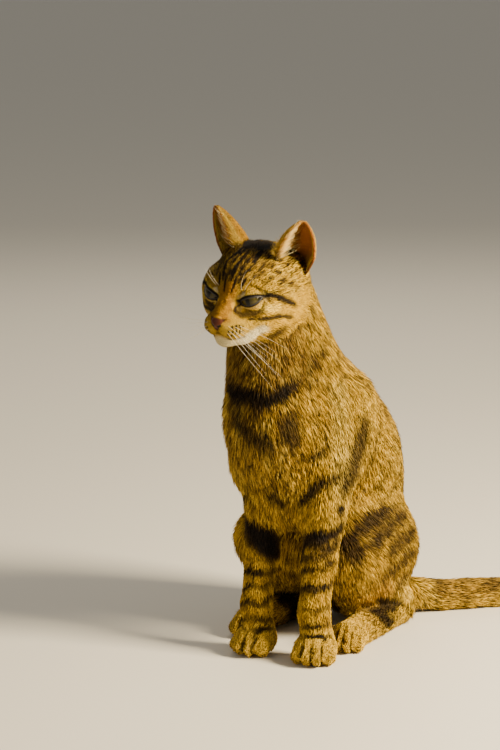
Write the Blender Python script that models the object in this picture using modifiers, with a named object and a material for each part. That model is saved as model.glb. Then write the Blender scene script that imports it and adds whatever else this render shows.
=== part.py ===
"""A sitting short-haired cat, life size, as one body of rounded masses parted into named pieces.

The cat faces -Y with its left side on +X and rests on the floor at z = 0. Every length below is
in millimetres and is turned into metres once, when a mesh is written.
"""

import math
from collections import namedtuple

import bmesh
import bpy
import numpy as np
from mathutils import Matrix, Vector

MM = 0.001

# How finely the whole body is meshed before it is thinned, and how many triangles it keeps.
SKIN_VOXEL = 2.0
BODY_TRIANGLES = 3640
DETAIL_WEIGHT = 0.9
SETTLE_STEPS = 7
SETTLE_LIMIT = 2.0

# Facets closer to one plane than this many radians are made one.
FLATNESS = math.radians(2.0)

# Surface colours (linear) and roughness: the coat, and the pieces that are not coat.
COAT_SURFACE = ((0.36, 0.22, 0.09), 0.85)
SURFACES = {
    "eye": ((0.30, 0.28, 0.08), 0.12),
    "nose": ((0.35, 0.12, 0.08), 0.55),
    "ear": ((0.45, 0.26, 0.14), 0.80),
}

# The clear space left between two neighbouring pieces.
GAP = 0.3

# Where the head is carried: the point midway between the eyes, and its turns in degrees.
HEAD_AT = (-30.0, -170.0, 302.0)
HEAD_NOD = 6.5
HEAD_TILT = 5.5
HEAD_TURN = -2.0

# Eyes, measured in the head's own frame (the cat's left eye; the right is its mirror).
EYE_AT = (16.6, -4.8, 2.0)
EYE_RADIUS = 10.2

# Ears, measured outwards in the head's own frame: where each stands, how far it is turned out
# (degrees) and its half width. The left ear (1) is turned to its side, the right one forwards.
EAR_BASE = {1.0: (29.5, 35.0, 21.0), -1.0: (27.0, 37.0, 21.0)}
EAR_TIP = {1.0: (44.5, 27.5, 68.0), -1.0: (44.5, 29.5, 67.0)}
EAR_FACING = {1.0: 38.0, -1.0: 30.0}
EAR_HALF_WIDTH = {1.0: 18.0, -1.0: 17.0}
EAR_CUP_DEPTH = 19.0
EAR_WALL = 2.0
EAR_SWEEP = 108.0
EAR_SLICES = 9
EAR_POINTS = 9

# Body landmarks.
MEDIAN_X = -9.0
CHEST_TURN = -7.0
FORE_TOP = 118.0
WRIST_Z = 40.0
PAW_Z = 11.2
HIND_FOOT_Z = 14.0

# Where the body is parted into its named pieces.
HEAD_CUT = ((0.0, 62.0, 12.0), (0.0, 0.627, -0.779))
NOSE_AT = (0.0, -33.0, -13.8)
NOSE_REACH = 5.6
NECK_CUT = ((-18.0, -118.0, 238.0), (0.05, 0.2, -0.98))
CHEST_CUT = ((MEDIAN_X, -46.0, 150.0), (0.0, 0.6, -0.8))
BELLY_CUT = ((MEDIAN_X, -16.0, 92.0), (0.0, 0.2, -0.98))
TAIL_CUTS = (0.20, 0.42, 0.64, 0.83)
PAW_TOP = 28.0
PAW_BACK_Y = -133.0
FOREARM_TOP = 104.0
FORE_BACK_Y = -114.5
HIND_FOOT_TOP = 26.0
HIND_TOES_Y = -131.5
SHANK_FRONT_Y = -124.0
LOWER_LEG_TOP = 44.0
HEEL_Y = 8.0
BELOW = -9.0
REACH = 400.0

# The rounded ends of the upper legs' pieces: middle (Y, Z) and radius.
SHOULDER_YZ = (-90.0, 202.0)
SHOULDER_RADIUS = 26.0
ELBOW_YZ = (-130.0, 121.0)
ELBOW_RADIUS = 30.0
KNEE_YZ = (-78.0, 82.0)
KNEE_RADIUS = 38.0
HIP_YZ = (-6.0, 76.0)
HIP_RADIUS = 36.0

# How far across the body each side's pieces reach (X), and where their joints are (X).
Spans = namedtuple("Spans", "fore hind shoulder elbow knee hip")
LEFT_SPANS = Spans((8.0, 66.0), (20.0, 90.0), 44.0, 28.0, 48.0, 44.0)
RIGHT_SPANS = Spans((-60.0, 6.5), (-100.0, -32.0), -64.0, -27.0, -69.0, -64.0)

# Points nearer to each other than this are made one.
WELD = 0.02

# The tail's middle line on the floor: where it leaves the rump, which way and how far it runs.
TAIL_FROM = (2.0, -8.0)
TAIL_HEADING = 45.0
TAIL_CURL = 70.0
TAIL_CURL_FROM = 0.42
TAIL_LENGTH = 278.0
TAIL_ROOT_Z = 24.0
TAIL_SINK = 0.7
TAIL_STEPS = 12
TAIL_ROOT_RADIUS = 15.5
TAIL_TIP_RADIUS = 9.5


def turn_matrix(turn=0.0, nod=0.0, tilt=0.0):
    """Rotation made of a turn about Z, then a nod about X, then a tilt about Y, in degrees."""
    about_z = Matrix.Rotation(math.radians(turn), 3, "Z")
    about_x = Matrix.Rotation(math.radians(nod), 3, "X")
    about_y = Matrix.Rotation(math.radians(tilt), 3, "Y")
    return np.array(about_z @ about_x @ about_y)


class Ellipsoid:
    """A rounded mass with three half-lengths, turned as asked, that melts into its neighbours."""

    def __init__(self, centre, radii, turn=0.0, nod=0.0, tilt=0.0, blend=8.0):
        self.centre = np.array(centre, float)
        self.radii = np.array(radii, float)
        self.axes = turn_matrix(turn, nod, tilt)
        self.blend = blend

    def moved(self, axes, origin):
        """The same mass carried by a frame with the given axes and origin."""
        twin = Ellipsoid(axes @ self.centre + origin, self.radii, blend=self.blend)
        twin.axes = axes @ self.axes
        return twin

    def distance(self, points):
        local = (points - self.centre) @ self.axes
        near = np.linalg.norm(local / self.radii, axis=1)
        steep = np.linalg.norm(local / self.radii**2, axis=1)
        return near * (near - 1.0) / np.maximum(steep, 1e-9)

    def build(self, bm):
        shape = Matrix.Diagonal((*self.radii, 1.0))
        place = Matrix.Translation(self.centre) @ Matrix(self.axes.tolist()).to_4x4() @ shape
        bmesh.ops.create_icosphere(bm, subdivisions=4, radius=1.0, matrix=place)


class Limb:
    """A rounded length between two points with a radius at each end."""

    def __init__(self, start, end, start_radius, end_radius, blend=8.0):
        self.start = np.array(start, float)
        self.end = np.array(end, float)
        self.start_radius = start_radius
        self.end_radius = end_radius
        self.blend = blend

    def moved(self, axes, origin):
        """The same length carried by a frame with the given axes and origin."""
        start = axes @ self.start + origin
        end = axes @ self.end + origin
        return Limb(start, end, self.start_radius, self.end_radius, self.blend)

    def distance(self, points):
        run = self.end - self.start
        along = np.clip((points - self.start) @ run / (run @ run), 0.0, 1.0)
        nearest = self.start + along[:, None] * run
        radius = self.start_radius + along * (self.end_radius - self.start_radius)
        return np.linalg.norm(points - nearest, axis=1) - radius

    def build(self, bm):
        run = Vector(self.end - self.start)
        turn = run.to_track_quat("Z", "Y").to_matrix().to_4x4()
        middle = Vector(self.start) + run * 0.5
        place = Matrix.Translation(middle) @ turn
        bmesh.ops.create_cone(
            bm,
            cap_ends=True,
            segments=32,
            radius1=self.start_radius,
            radius2=self.end_radius,
            depth=run.length,
            matrix=place,
        )
        for centre, radius in ((self.start, self.start_radius), (self.end, self.end_radius)):
            ball = Matrix.Translation(Vector(centre))
            bmesh.ops.create_icosphere(bm, subdivisions=3, radius=radius, matrix=ball)


def mirrored(mass):
    """The mirror image of a mass across the head's own middle plane."""
    flip = np.diag([-1.0, 1.0, 1.0])
    if isinstance(mass, Limb):
        start = flip @ mass.start
        end = flip @ mass.end
        return Limb(start, end, mass.start_radius, mass.end_radius, mass.blend)
    twin = Ellipsoid(flip @ mass.centre, mass.radii, blend=mass.blend)
    twin.axes = flip @ mass.axes @ flip
    return twin


def head_masses():
    """The skull, cheeks, muzzle and jaw, in the head's own frame (eyes at z = 0, nose at -Y)."""
    middle = [
        Ellipsoid((0.0, 33.0, 8.0), (35.0, 40.0, 29.0), blend=8.0),
        Ellipsoid((0.0, 7.0, 11.0), (27.0, 20.0, 17.0), blend=8.0),
        Limb((0.0, -4.0, 3.0), (0.0, -24.0, -12.8), 13.0, 8.4, blend=9.0),
        Ellipsoid((0.0, -29.5, -15.5), (6.2, 5.0, 4.8), blend=3.0),
        Ellipsoid((0.0, -15.0, -20.0), (16.5, 14.5, 11.0), blend=8.0),
        Ellipsoid((0.0, -16.5, -32.5), (9.5, 9.5, 7.0), nod=12.0, blend=6.0),
        Ellipsoid((0.0, 0.0, -20.0), (19.0, 22.0, 15.0), blend=8.0),
    ]
    left = [
        Ellipsoid((22.0, 16.0, -10.0), (18.0, 25.0, 20.0), turn=-14.0, blend=9.0),
        Ellipsoid((25.0, 12.0, 4.0), (13.0, 20.0, 14.0), turn=-12.0, blend=9.0),
        Ellipsoid((9.2, -21.5, -20.5), (8.6, 9.0, 7.6), turn=-20.0, blend=7.0),
        Limb((8.0, -6.0, -29.0), (19.0, 20.0, -20.0), 9.0, 13.0, blend=8.0),
        Limb((9.0, -3.5, 12.5), (23.0, 6.5, 11.0), 7.0, 7.0, blend=5.0),
        Limb((9.0, -8.5, -8.0), (23.0, 4.0, -8.0), 6.6, 7.4, blend=5.0),
        Ellipsoid((25.0, 40.0, 13.0), (13.0, 13.0, 16.0), blend=10.0),
    ]
    return middle + left + [mirrored(mass) for mass in left]


def trunk_masses():
    """Neck, chest, back, belly and rump along the steep line of a sitting cat."""
    middle = MEDIAN_X
    return [
        Limb((-23.0, -127.0, 292.0), (-19.0, -114.0, 248.0), 37.5, 42.0, blend=14.0),
        Limb((-20.0, -121.0, 246.0), (-14.0, -104.0, 214.0), 40.5, 47.0, blend=16.0),
        Ellipsoid((-12.0, -80.0, 180.0), (53.0, 63.0, 80.0), CHEST_TURN, 38.0, blend=16.0),
        Ellipsoid((-17.0, -140.0, 196.0), (40.0, 38.0, 62.0), CHEST_TURN, 4.0, blend=16.0),
        Ellipsoid((middle, -36.0, 144.0), (53.5, 62.0, 80.0), 0.0, 30.0, blend=16.0),
        Ellipsoid((middle, -10.0, 106.0), (40.0, 44.0, 58.0), 0.0, 12.0, blend=16.0),
        Ellipsoid((middle, -8.0, 60.0), (42.0, 44.0, 61.0), blend=16.0),
        Ellipsoid((24.0, -17.0, 64.0), (21.0, 40.0, 44.0), blend=14.0),
        Ellipsoid((-46.0, -15.0, 70.0), (22.0, 42.0, 46.0), blend=14.0),
        Ellipsoid((-4.0, -122.0, 134.0), (30.0, 26.0, 34.0), CHEST_TURN, blend=16.0),
        Ellipsoid((middle, -60.0, 80.0), (44.0, 46.0, 46.0), blend=14.0),
        Ellipsoid((24.0, -92.0, 176.0), (21.0, 34.0, 56.0), CHEST_TURN, -30.0, blend=14.0),
        Ellipsoid((-46.0, -100.0, 176.0), (21.0, 34.0, 56.0), CHEST_TURN, -30.0, blend=14.0),
    ]


def foreleg_masses(side):
    """One foreleg from the upper arm down to the toes."""
    elbow, wrist, paw, spread = side
    knuckle = paw + np.array([0.0, 4.0, 4.0])
    masses = [
        Limb(elbow + np.array([0.0, 14.0, 34.0]), elbow, 20.0, 17.5, blend=14.0),
        Limb(elbow, (elbow + wrist) / 2.0, 17.5, 14.6, blend=8.0),
        Limb((elbow + wrist) / 2.0, wrist, 14.6, 13.0, blend=6.0),
        Limb(wrist, knuckle, 13.0, 14.0, blend=6.0),
    ]
    return masses + toe_masses(paw, spread, 17.5, 8.0)


def toe_masses(paw, turn, width, toe):
    """The pad and four toes of a paw whose middle is at the given point."""
    axes = turn_matrix(turn)
    pad = Ellipsoid(paw, (width, 18.0, 13.0), turn=turn, blend=4.0)
    masses = [pad]
    for share, ahead in ((-0.70, -9.0), (-0.25, -14.5), (0.25, -14.5), (0.70, -9.0)):
        across = share * width
        start = paw + axes @ np.array([across * 0.8, ahead + 9.0, 2.5])
        end = paw + axes @ np.array([across, ahead, toe - paw[2] - 0.6])
        masses.append(Limb(start, end, toe * 0.95, toe * 0.86, blend=1.6))
    return masses


def hindleg_masses(side):
    """One hind leg folded for sitting: thigh, shank, long foot and toes."""
    hip, knee, hock, paw, spread = side
    thigh = Ellipsoid((hip + knee) / 2.0, (27.0, 62.0, 54.0), nod=-8.0, blend=16.0)
    return [
        thigh,
        Limb(hip, knee, 31.0, 23.0, blend=16.0),
        Limb(knee + np.array([0.0, 4.0, -14.0]), hock + np.array([0.0, 0.0, 10.0]), 19.0, 13.0),
        Limb(hock, paw + np.array([0.0, 14.0, 1.0]), 14.5, 12.4, blend=5.0),
        *toe_masses(paw, spread, 14.0, 7.4),
    ]


def tail_line(share):
    """A point on the tail's middle line, from inside the rump (0) to the tip (1)."""
    point = np.array(TAIL_FROM)
    pieces = max(1, round(share * 60))
    for piece in range(pieces):
        here = share * (piece + 0.5) / pieces
        curl = max(0.0, here - TAIL_CURL_FROM) / (1.0 - TAIL_CURL_FROM)
        heading = math.radians(TAIL_HEADING - TAIL_CURL * curl)
        point = point + np.array([math.cos(heading), math.sin(heading)]) * TAIL_LENGTH * share / pieces
    drop = min(1.0, share * 4.0)
    rest = tail_radius(share) - TAIL_SINK
    return np.array([*point, TAIL_ROOT_Z + (rest - TAIL_ROOT_Z) * drop])


def tail_radius(share):
    """The tail's radius, coat and all, at a share of its length."""
    return TAIL_ROOT_RADIUS + (TAIL_TIP_RADIUS - TAIL_ROOT_RADIUS) * share


def tail_masses():
    """The tail, laid on the floor behind the cat's left hip and curling gently away."""
    masses = []
    for step in range(TAIL_STEPS):
        share = step / TAIL_STEPS
        start = tail_line(share)
        beyond_share = share + 1.0 / TAIL_STEPS
        end = tail_line(beyond_share)
        masses.append(Limb(start, end, tail_radius(share), tail_radius(beyond_share), blend=2.0))
    return masses


# Each foreleg: elbow, wrist, middle of the paw, and how far the paw is turned out (degrees).
LEFT_FORE = (
    np.array([28.0, -128.0, FORE_TOP]),
    np.array([31.0, -151.0, WRIST_Z]),
    np.array([36.0, -157.0, PAW_Z]),
    18.0,
)
RIGHT_FORE = (
    np.array([-27.0, -128.0, FORE_TOP]),
    np.array([-23.5, -151.0, WRIST_Z]),
    np.array([-20.5, -157.0, PAW_Z]),
    -6.0,
)
# Each hind leg: hip, knee, hock, middle of the paw, and how far the paw is turned out (degrees).
LEFT_HIND = (
    np.array([17.0, -10.0, 66.0]),
    np.array([35.0, -86.0, 70.0]),
    np.array([37.0, -13.0, HIND_FOOT_Z]),
    np.array([42.0, -108.0, 11.0]),
    10.0,
)
RIGHT_HIND = (
    np.array([-40.0, -8.0, 76.0]),
    np.array([-56.0, -87.0, 80.0]),
    np.array([-48.0, -18.0, HIND_FOOT_Z]),
    np.array([-52.0, -109.0, 11.0]),
    -6.0,
)


class Body:
    """All masses of the cat and the one smooth surface that wraps them."""

    def __init__(self):
        self.head_axes = turn_matrix(HEAD_TURN, HEAD_NOD, HEAD_TILT)
        self.head_origin = np.array(HEAD_AT)
        self.masses = trunk_masses()
        self.masses += [m.moved(self.head_axes, self.head_origin) for m in head_masses()]
        self.masses += foreleg_masses(LEFT_FORE) + foreleg_masses(RIGHT_FORE)
        self.masses += hindleg_masses(LEFT_HIND) + hindleg_masses(RIGHT_HIND)
        self.masses += tail_masses()

    def distance(self, points):
        """Signed distance to the blended surface, positive outside."""
        total = self.masses[0].distance(points)
        for mass in self.masses[1:]:
            other = mass.distance(points)
            share = np.clip(0.5 + 0.5 * (total - other) / mass.blend, 0.0, 1.0)
            total = total * (1.0 - share) + other * share - mass.blend * share * (1.0 - share)
        return total

    def settle(self, points):
        """Points moved onto the blended surface along its slope."""
        probe = 0.25
        for _ in range(SETTLE_STEPS):
            here = self.distance(points)
            ahead = [self.distance(points + probe * axis) for axis in np.eye(3)]
            slope = (np.stack(ahead, axis=1) - here[:, None]) / probe
            length = np.maximum(np.linalg.norm(slope, axis=1, keepdims=True), 0.3)
            step = np.clip(here, -SETTLE_LIMIT, SETTLE_LIMIT)[:, None] * slope / length**2
            points = points - step
        return points

    def head_point(self, point):
        """A point of the head's own frame, in the cat's frame."""
        return self.head_axes @ np.array(point) + self.head_origin


class Ear:
    """One ear as a thin upright cup, open towards the front and the side."""

    def __init__(self, body, side):
        self.body = body
        self.side = side

    def profile(self, rise):
        """Half width and cup depth of the ear, as shares, at a rise from base (0) to tip (1)."""
        narrow_foot = 0.66 + 0.34 * min(1.0, rise / 0.36)
        width = (1.0 - rise**3.2) ** 0.62 * (1.0 - 0.10 * rise) * narrow_foot
        depth = (1.0 - rise) ** 0.55
        return max(width, 0.20), max(depth, 0.14)

    def loops(self):
        """Closed outlines of the ear's wall from its base up to its tip."""
        base = np.array(EAR_BASE[self.side])
        tip = np.array(EAR_TIP[self.side])
        up = (tip - base) / np.linalg.norm(tip - base)
        facing = math.radians(EAR_FACING[self.side])
        front = np.array([math.sin(facing), -math.cos(facing), 0.0])
        front = front - up * (front @ up)
        front = front / np.linalg.norm(front)
        across = np.cross(up, front)
        flip = np.array([self.side, 1.0, 1.0])
        rings = []
        for piece in range(EAR_SLICES):
            rise = piece / (EAR_SLICES - 1)
            width, depth = self.profile(rise)
            middle = base + (tip - base) * (rise - 0.12)
            ring = []
            for inset, order in ((0.0, 1.0), (EAR_WALL, -1.0)):
                half = max(EAR_HALF_WIDTH[self.side] * width - inset, 0.5)
                cup = max(EAR_CUP_DEPTH * depth - inset, 0.4)
                for point in range(EAR_POINTS):
                    angle = order * (2.0 * point / (EAR_POINTS - 1) - 1.0) * EAR_SWEEP
                    sweep = math.radians(angle)
                    offset = across * half * math.sin(sweep) - front * cup * math.cos(sweep)
                    ring.append(self.body.head_point((middle + offset) * flip))
            rings.append(ring)
        return rings

    def build(self, name, collection):
        """The ear's closed mesh: walls between its outlines, and an end over each."""
        bm = bmesh.new()
        rings = [[bm.verts.new(point) for point in ring] for ring in self.loops()]
        count = len(rings[0])
        for lower, upper in zip(rings, rings[1:]):
            for index in range(count):
                after = (index + 1) % count
                bm.faces.new((lower[index], lower[after], upper[after], upper[index]))
        for ring in (rings[0], rings[-1]):
            for index in range(EAR_POINTS - 1):
                inner = ring[count - 1 - index]
                inner_next = ring[count - 2 - index]
                bm.faces.new((ring[index], ring[index + 1], inner_next, inner))
        bmesh.ops.recalc_face_normals(bm, faces=bm.faces)
        return object_from(bm, name, collection)


def object_from(bm, name, collection):
    """A new object in the collection made from a finished bmesh, which is freed."""
    mesh = bpy.data.meshes.new(name)
    bm.to_mesh(mesh)
    bm.free()
    made = bpy.data.objects.new(name, mesh)
    collection.objects.link(made)
    return made


class Cutter:
    """A solid that claims part of the body for one named piece."""

    def __init__(self, name, shapes, collection):
        self.name = name
        self.shapes = shapes
        self.collection = collection

    def solid(self, grown):
        """The cutter's convex solid, grown outwards by the given length."""
        bm = bmesh.new()
        for shape in self.shapes:
            shape(bm, grown)
        bmesh.ops.delete(bm, geom=bm.faces, context="FACES_ONLY")
        bmesh.ops.delete(bm, geom=bm.edges, context="EDGES_FACES")
        bmesh.ops.convex_hull(bm, input=bm.verts)
        loose = [vert for vert in bm.verts if not vert.link_faces]
        bmesh.ops.delete(bm, geom=loose, context="VERTS")
        bmesh.ops.recalc_face_normals(bm, faces=bm.faces)
        made = object_from(bm, self.name + "_cutter", self.collection)
        made.hide_render = True
        made.display_type = "WIRE"
        return made


def ball(centre, radius):
    """A round corner of a cutter."""

    def add(bm, grown):
        place = Matrix.Translation(Vector(centre))
        bmesh.ops.create_icosphere(bm, subdivisions=2, radius=radius + grown, matrix=place)

    return add


def block(low, high):
    """An upright block of a cutter between two corners."""

    def add(bm, grown):
        low_corner = np.array(low) - grown
        high_corner = np.array(high) + grown
        size = Matrix.Diagonal((*(high_corner - low_corner), 1.0))
        place = Matrix.Translation(Vector((low_corner + high_corner) / 2.0)) @ size
        bmesh.ops.create_cube(bm, size=1.0, matrix=place)

    return add


def beyond(point, normal):
    """Everything on the far side of a plane, as one great block."""

    def add(bm, grown):
        facing = Vector(normal).normalized()
        turn = facing.to_track_quat("Z", "Y").to_matrix().to_4x4()
        middle = Vector(point) + facing * (REACH / 2.0 - grown)
        place = Matrix.Translation(middle) @ turn
        bmesh.ops.create_cube(bm, size=REACH, matrix=place)

    return add


def limb_cutters(side, spans, collection):
    """The pieces of one side's legs, from the feet upwards, and the places they are cut."""
    fore_low, fore_high = spans.fore
    hind_low, hind_high = spans.hind
    shoulder = ball((spans.shoulder, *SHOULDER_YZ), SHOULDER_RADIUS)
    elbow = ball((spans.elbow, *ELBOW_YZ), ELBOW_RADIUS)
    knee = ball((spans.knee, *KNEE_YZ), KNEE_RADIUS)
    hip = ball((spans.hip, *HIP_YZ), HIP_RADIUS)
    paw = block((fore_low, -200.0, BELOW), (fore_high, PAW_BACK_Y, PAW_TOP))
    forearm = block((fore_low, -190.0, PAW_TOP), (fore_high, FORE_BACK_Y, FOREARM_TOP))
    foot = block((hind_low, HIND_TOES_Y, BELOW), (hind_high, HEEL_Y, HIND_FOOT_TOP))
    shank = block((hind_low, SHANK_FRONT_Y, HIND_FOOT_TOP), (hind_high, HEEL_Y, LOWER_LEG_TOP))
    return [
        Cutter(side + "_forepaw", [paw], collection),
        Cutter(side + "_forearm", [forearm], collection),
        Cutter(side + "_upper_foreleg", [shoulder, elbow], collection),
        Cutter(side + "_hind_foot", [foot], collection),
        Cutter(side + "_lower_leg", [shank], collection),
        Cutter(side + "_thigh", [knee, hip], collection),
    ]


def tail_cutters(collection):
    """The tail's lengths from its tip back to the rump."""
    names = ("tail_root", "tail_middle", "tail_end", "tail_tip")
    cutters = []
    for name, share in reversed(list(zip(names, TAIL_CUTS))):
        here = tail_line(share)
        ahead = tail_line(share + 0.02) - tail_line(share - 0.02)
        cutters.append(Cutter(name, [beyond(here, (ahead[0], ahead[1], 0.0))], collection))
    return cutters


def combined(target, tool, operation):
    """The target's mesh joined with or cut by the tool's, made final."""
    cut = target.modifiers.new(operation.title(), "BOOLEAN")
    cut.operation = operation
    cut.solver = "EXACT"
    cut.object = tool
    bpy.context.view_layer.update()
    graph = bpy.context.evaluated_depsgraph_get()
    mesh = bpy.data.meshes.new_from_object(target.evaluated_get(graph))
    target.modifiers.remove(cut)
    return mesh


def whole_body(body, collection):
    """The blended body as one closed mesh, finer on the head and paws, flat where it rests."""
    bm = bmesh.new()
    for mass in body.masses:
        mass.build(bm)
    made = object_from(bm, "whole_body", collection)
    wrap = made.modifiers.new("Wrap", "REMESH")
    wrap.mode = "VOXEL"
    wrap.voxel_size = SKIN_VOXEL
    made.data = applied(made)
    points = np.empty(len(made.data.vertices) * 3)
    made.data.vertices.foreach_get("co", points)
    points = body.settle(points.reshape(-1, 3))
    made.data.vertices.foreach_set("co", points.ravel())
    made.data.update()
    detail = detail_weights(body, points)
    group = made.vertex_groups.new(name="Coarse")
    for index, weight in enumerate(detail):
        group.add([index], 1.0 - DETAIL_WEIGHT * float(weight), "REPLACE")
    thin = made.modifiers.new("Thin", "DECIMATE")
    thin.vertex_group = group.name
    thin.ratio = BODY_TRIANGLES / (2.0 * len(made.data.polygons))
    made.data = applied(made)
    made.vertex_groups.clear()
    ground = bmesh.new()
    block((-REACH, -REACH, -REACH), (REACH, REACH, 0.0))(ground, 0.0)
    floor = object_from(ground, "ground", collection)
    made.data = combined(made, floor, "DIFFERENCE")
    bpy.data.objects.remove(floor)
    return made


def detail_weights(body, points):
    """How much detail each point keeps: 1 on the face and toes, falling to 0 on the trunk."""
    local = (points - body.head_origin) @ body.head_axes
    face = np.clip((34.0 - local[:, 1]) / 20.0, 0.0, 1.0) * (local[:, 2] > -48.0)
    weight = face * (points[:, 2] > 240.0)
    low = np.clip((PAW_TOP - points[:, 2]) / 8.0, 0.0, 1.0)
    toes = low * np.clip((-88.0 - points[:, 1]) / 8.0, 0.0, 1.0)
    return np.maximum(weight, toes)


def applied(made):
    """The object's mesh with its modifiers made final and taken off."""
    bpy.context.view_layer.update()
    graph = bpy.context.evaluated_depsgraph_get()
    mesh = bpy.data.meshes.new_from_object(made.evaluated_get(graph))
    made.modifiers.clear()
    return mesh


def parted(whole, cutters, collection):
    """Each cutter's piece taken out of the body in turn; what is left comes last."""
    pieces = {}
    for cutter in cutters:
        claim = cutter.solid(0.0)
        mesh = combined(whole, claim, "INTERSECT")
        pieces[cutter.name] = bpy.data.objects.new(cutter.name, mesh)
        collection.objects.link(pieces[cutter.name])
        clear = cutter.solid(GAP)
        whole.data = combined(whole, clear, "DIFFERENCE")
        bpy.data.objects.remove(claim)
        bpy.data.objects.remove(clear)
    return pieces


def eye_ball(body, side, grown, name, collection):
    """One eyeball, or the hollow it sits in when grown."""
    centre = body.head_point(np.array(EYE_AT) * np.array([side, 1.0, 1.0]))
    bm = bmesh.new()
    place = Matrix.Translation(Vector(centre))
    bmesh.ops.create_uvsphere(
        bm, u_segments=16, v_segments=9, radius=EYE_RADIUS + grown, matrix=place
    )
    return object_from(bm, name, collection)


def swollen(made, collection):
    """A copy of a piece with its surface moved outwards by the gap."""
    bm = bmesh.new()
    bm.from_mesh(made.data)
    for vert in bm.verts:
        vert.co += vert.normal * GAP
    return object_from(bm, "sleeve", collection)


def tidy(made):
    """Triangles only, with no stray slivers, shaded smooth."""
    bm = bmesh.new()
    bm.from_mesh(made.data)
    bmesh.ops.remove_doubles(bm, verts=bm.verts, dist=WELD)
    bmesh.ops.dissolve_degenerate(bm, edges=bm.edges, dist=WELD)
    bmesh.ops.dissolve_limit(bm, angle_limit=FLATNESS, verts=bm.verts, edges=bm.edges)
    bmesh.ops.triangulate(bm, faces=bm.faces)
    bm.to_mesh(made.data)
    bm.free()
    made.data.shade_smooth()


def build():
    """Build the cat and leave its named pieces in one collection."""
    for leftover in list(bpy.data.objects):
        bpy.data.objects.remove(leftover)
    collection = bpy.data.collections.new("Sitting_Cat")
    bpy.context.scene.collection.children.link(collection)
    workshop = bpy.data.collections.new("Workshop")
    bpy.context.scene.collection.children.link(workshop)
    body = Body()
    whole = whole_body(body, workshop)
    head_from = body.head_point(HEAD_CUT[0])
    head_way = body.head_axes @ -np.array(HEAD_CUT[1])
    cutters = [
        Cutter("nose", [ball(body.head_point(NOSE_AT), NOSE_REACH)], workshop),
        Cutter("head", [beyond(head_from, head_way)], workshop),
        Cutter("neck", [beyond(NECK_CUT[0], -np.array(NECK_CUT[1]))], workshop),
        *tail_cutters(workshop),
        *limb_cutters("left", LEFT_SPANS, workshop),
        *limb_cutters("right", RIGHT_SPANS, workshop),
        Cutter("chest", [beyond(CHEST_CUT[0], -np.array(CHEST_CUT[1]))], workshop),
        Cutter("belly", [beyond(BELLY_CUT[0], -np.array(BELLY_CUT[1]))], workshop),
    ]
    pieces = parted(whole, cutters, collection)
    pieces["rump"] = bpy.data.objects.new("rump", whole.data)
    collection.objects.link(pieces["rump"])
    sleeve = swollen(pieces["head"], workshop)
    for side, word in ((1.0, "left"), (-1.0, "right")):
        ear = Ear(body, side).build(word + "_ear", collection)
        ear.data = combined(ear, sleeve, "DIFFERENCE")
        pieces[word + "_ear"] = ear
        hollow = eye_ball(body, side, GAP, "hollow", workshop)
        pieces["head"].data = combined(pieces["head"], hollow, "DIFFERENCE")
        pieces[word + "_eye"] = eye_ball(body, side, 0.0, word + "_eye", collection)
    for leftover in list(workshop.objects):
        bpy.data.objects.remove(leftover)
    bpy.data.collections.remove(workshop)
    return pieces


def coat_material(name, colour, roughness):
    """A plain surface for one named piece."""
    material = bpy.data.materials.new(name)
    material.use_nodes = True
    shader = material.node_tree.nodes["Principled BSDF"]
    shader.inputs["Base Color"].default_value = (*colour, 1.0)
    shader.inputs["Roughness"].default_value = roughness
    return material


def finish(pieces):
    """Give each piece its surface and set the cat in metres over the middle of its own base."""
    for piece in pieces.values():
        tidy(piece)
    corners = np.array([vert.co for piece in pieces.values() for vert in piece.data.vertices])
    middle = (corners.min(axis=0) + corners.max(axis=0)) / 2.0
    rest = Matrix.Translation((-middle[0], -middle[1], 0.0))
    for name, piece in pieces.items():
        piece.data.transform(Matrix.Scale(MM, 4) @ rest)
        colour, roughness = SURFACES.get(name.split("_")[-1], COAT_SURFACE)
        piece.data.materials.clear()
        piece.data.materials.append(coat_material(name, colour, roughness))


def main():
    """Build, finish and name the cat."""
    finish(build())


if __name__ == "__main__":
    main()
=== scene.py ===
"""A life-size sitting tabby cat: skin, coat of tufts, eyes and whiskers on its CAD frame.

Places come from the frame. Lengths named below are in millimetres and are turned into metres
where a mesh is written. The cat faces -Y with its left side on +X and its feet at z = 0.
"""

import logging
import math
from collections.abc import Callable, Iterable
from dataclasses import dataclass, field
from enum import Enum
from functools import partial
from typing import Any

import bmesh
import bpy
import numpy as np
from mathutils import Matrix, Vector
from mathutils.bvhtree import BVHTree


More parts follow.
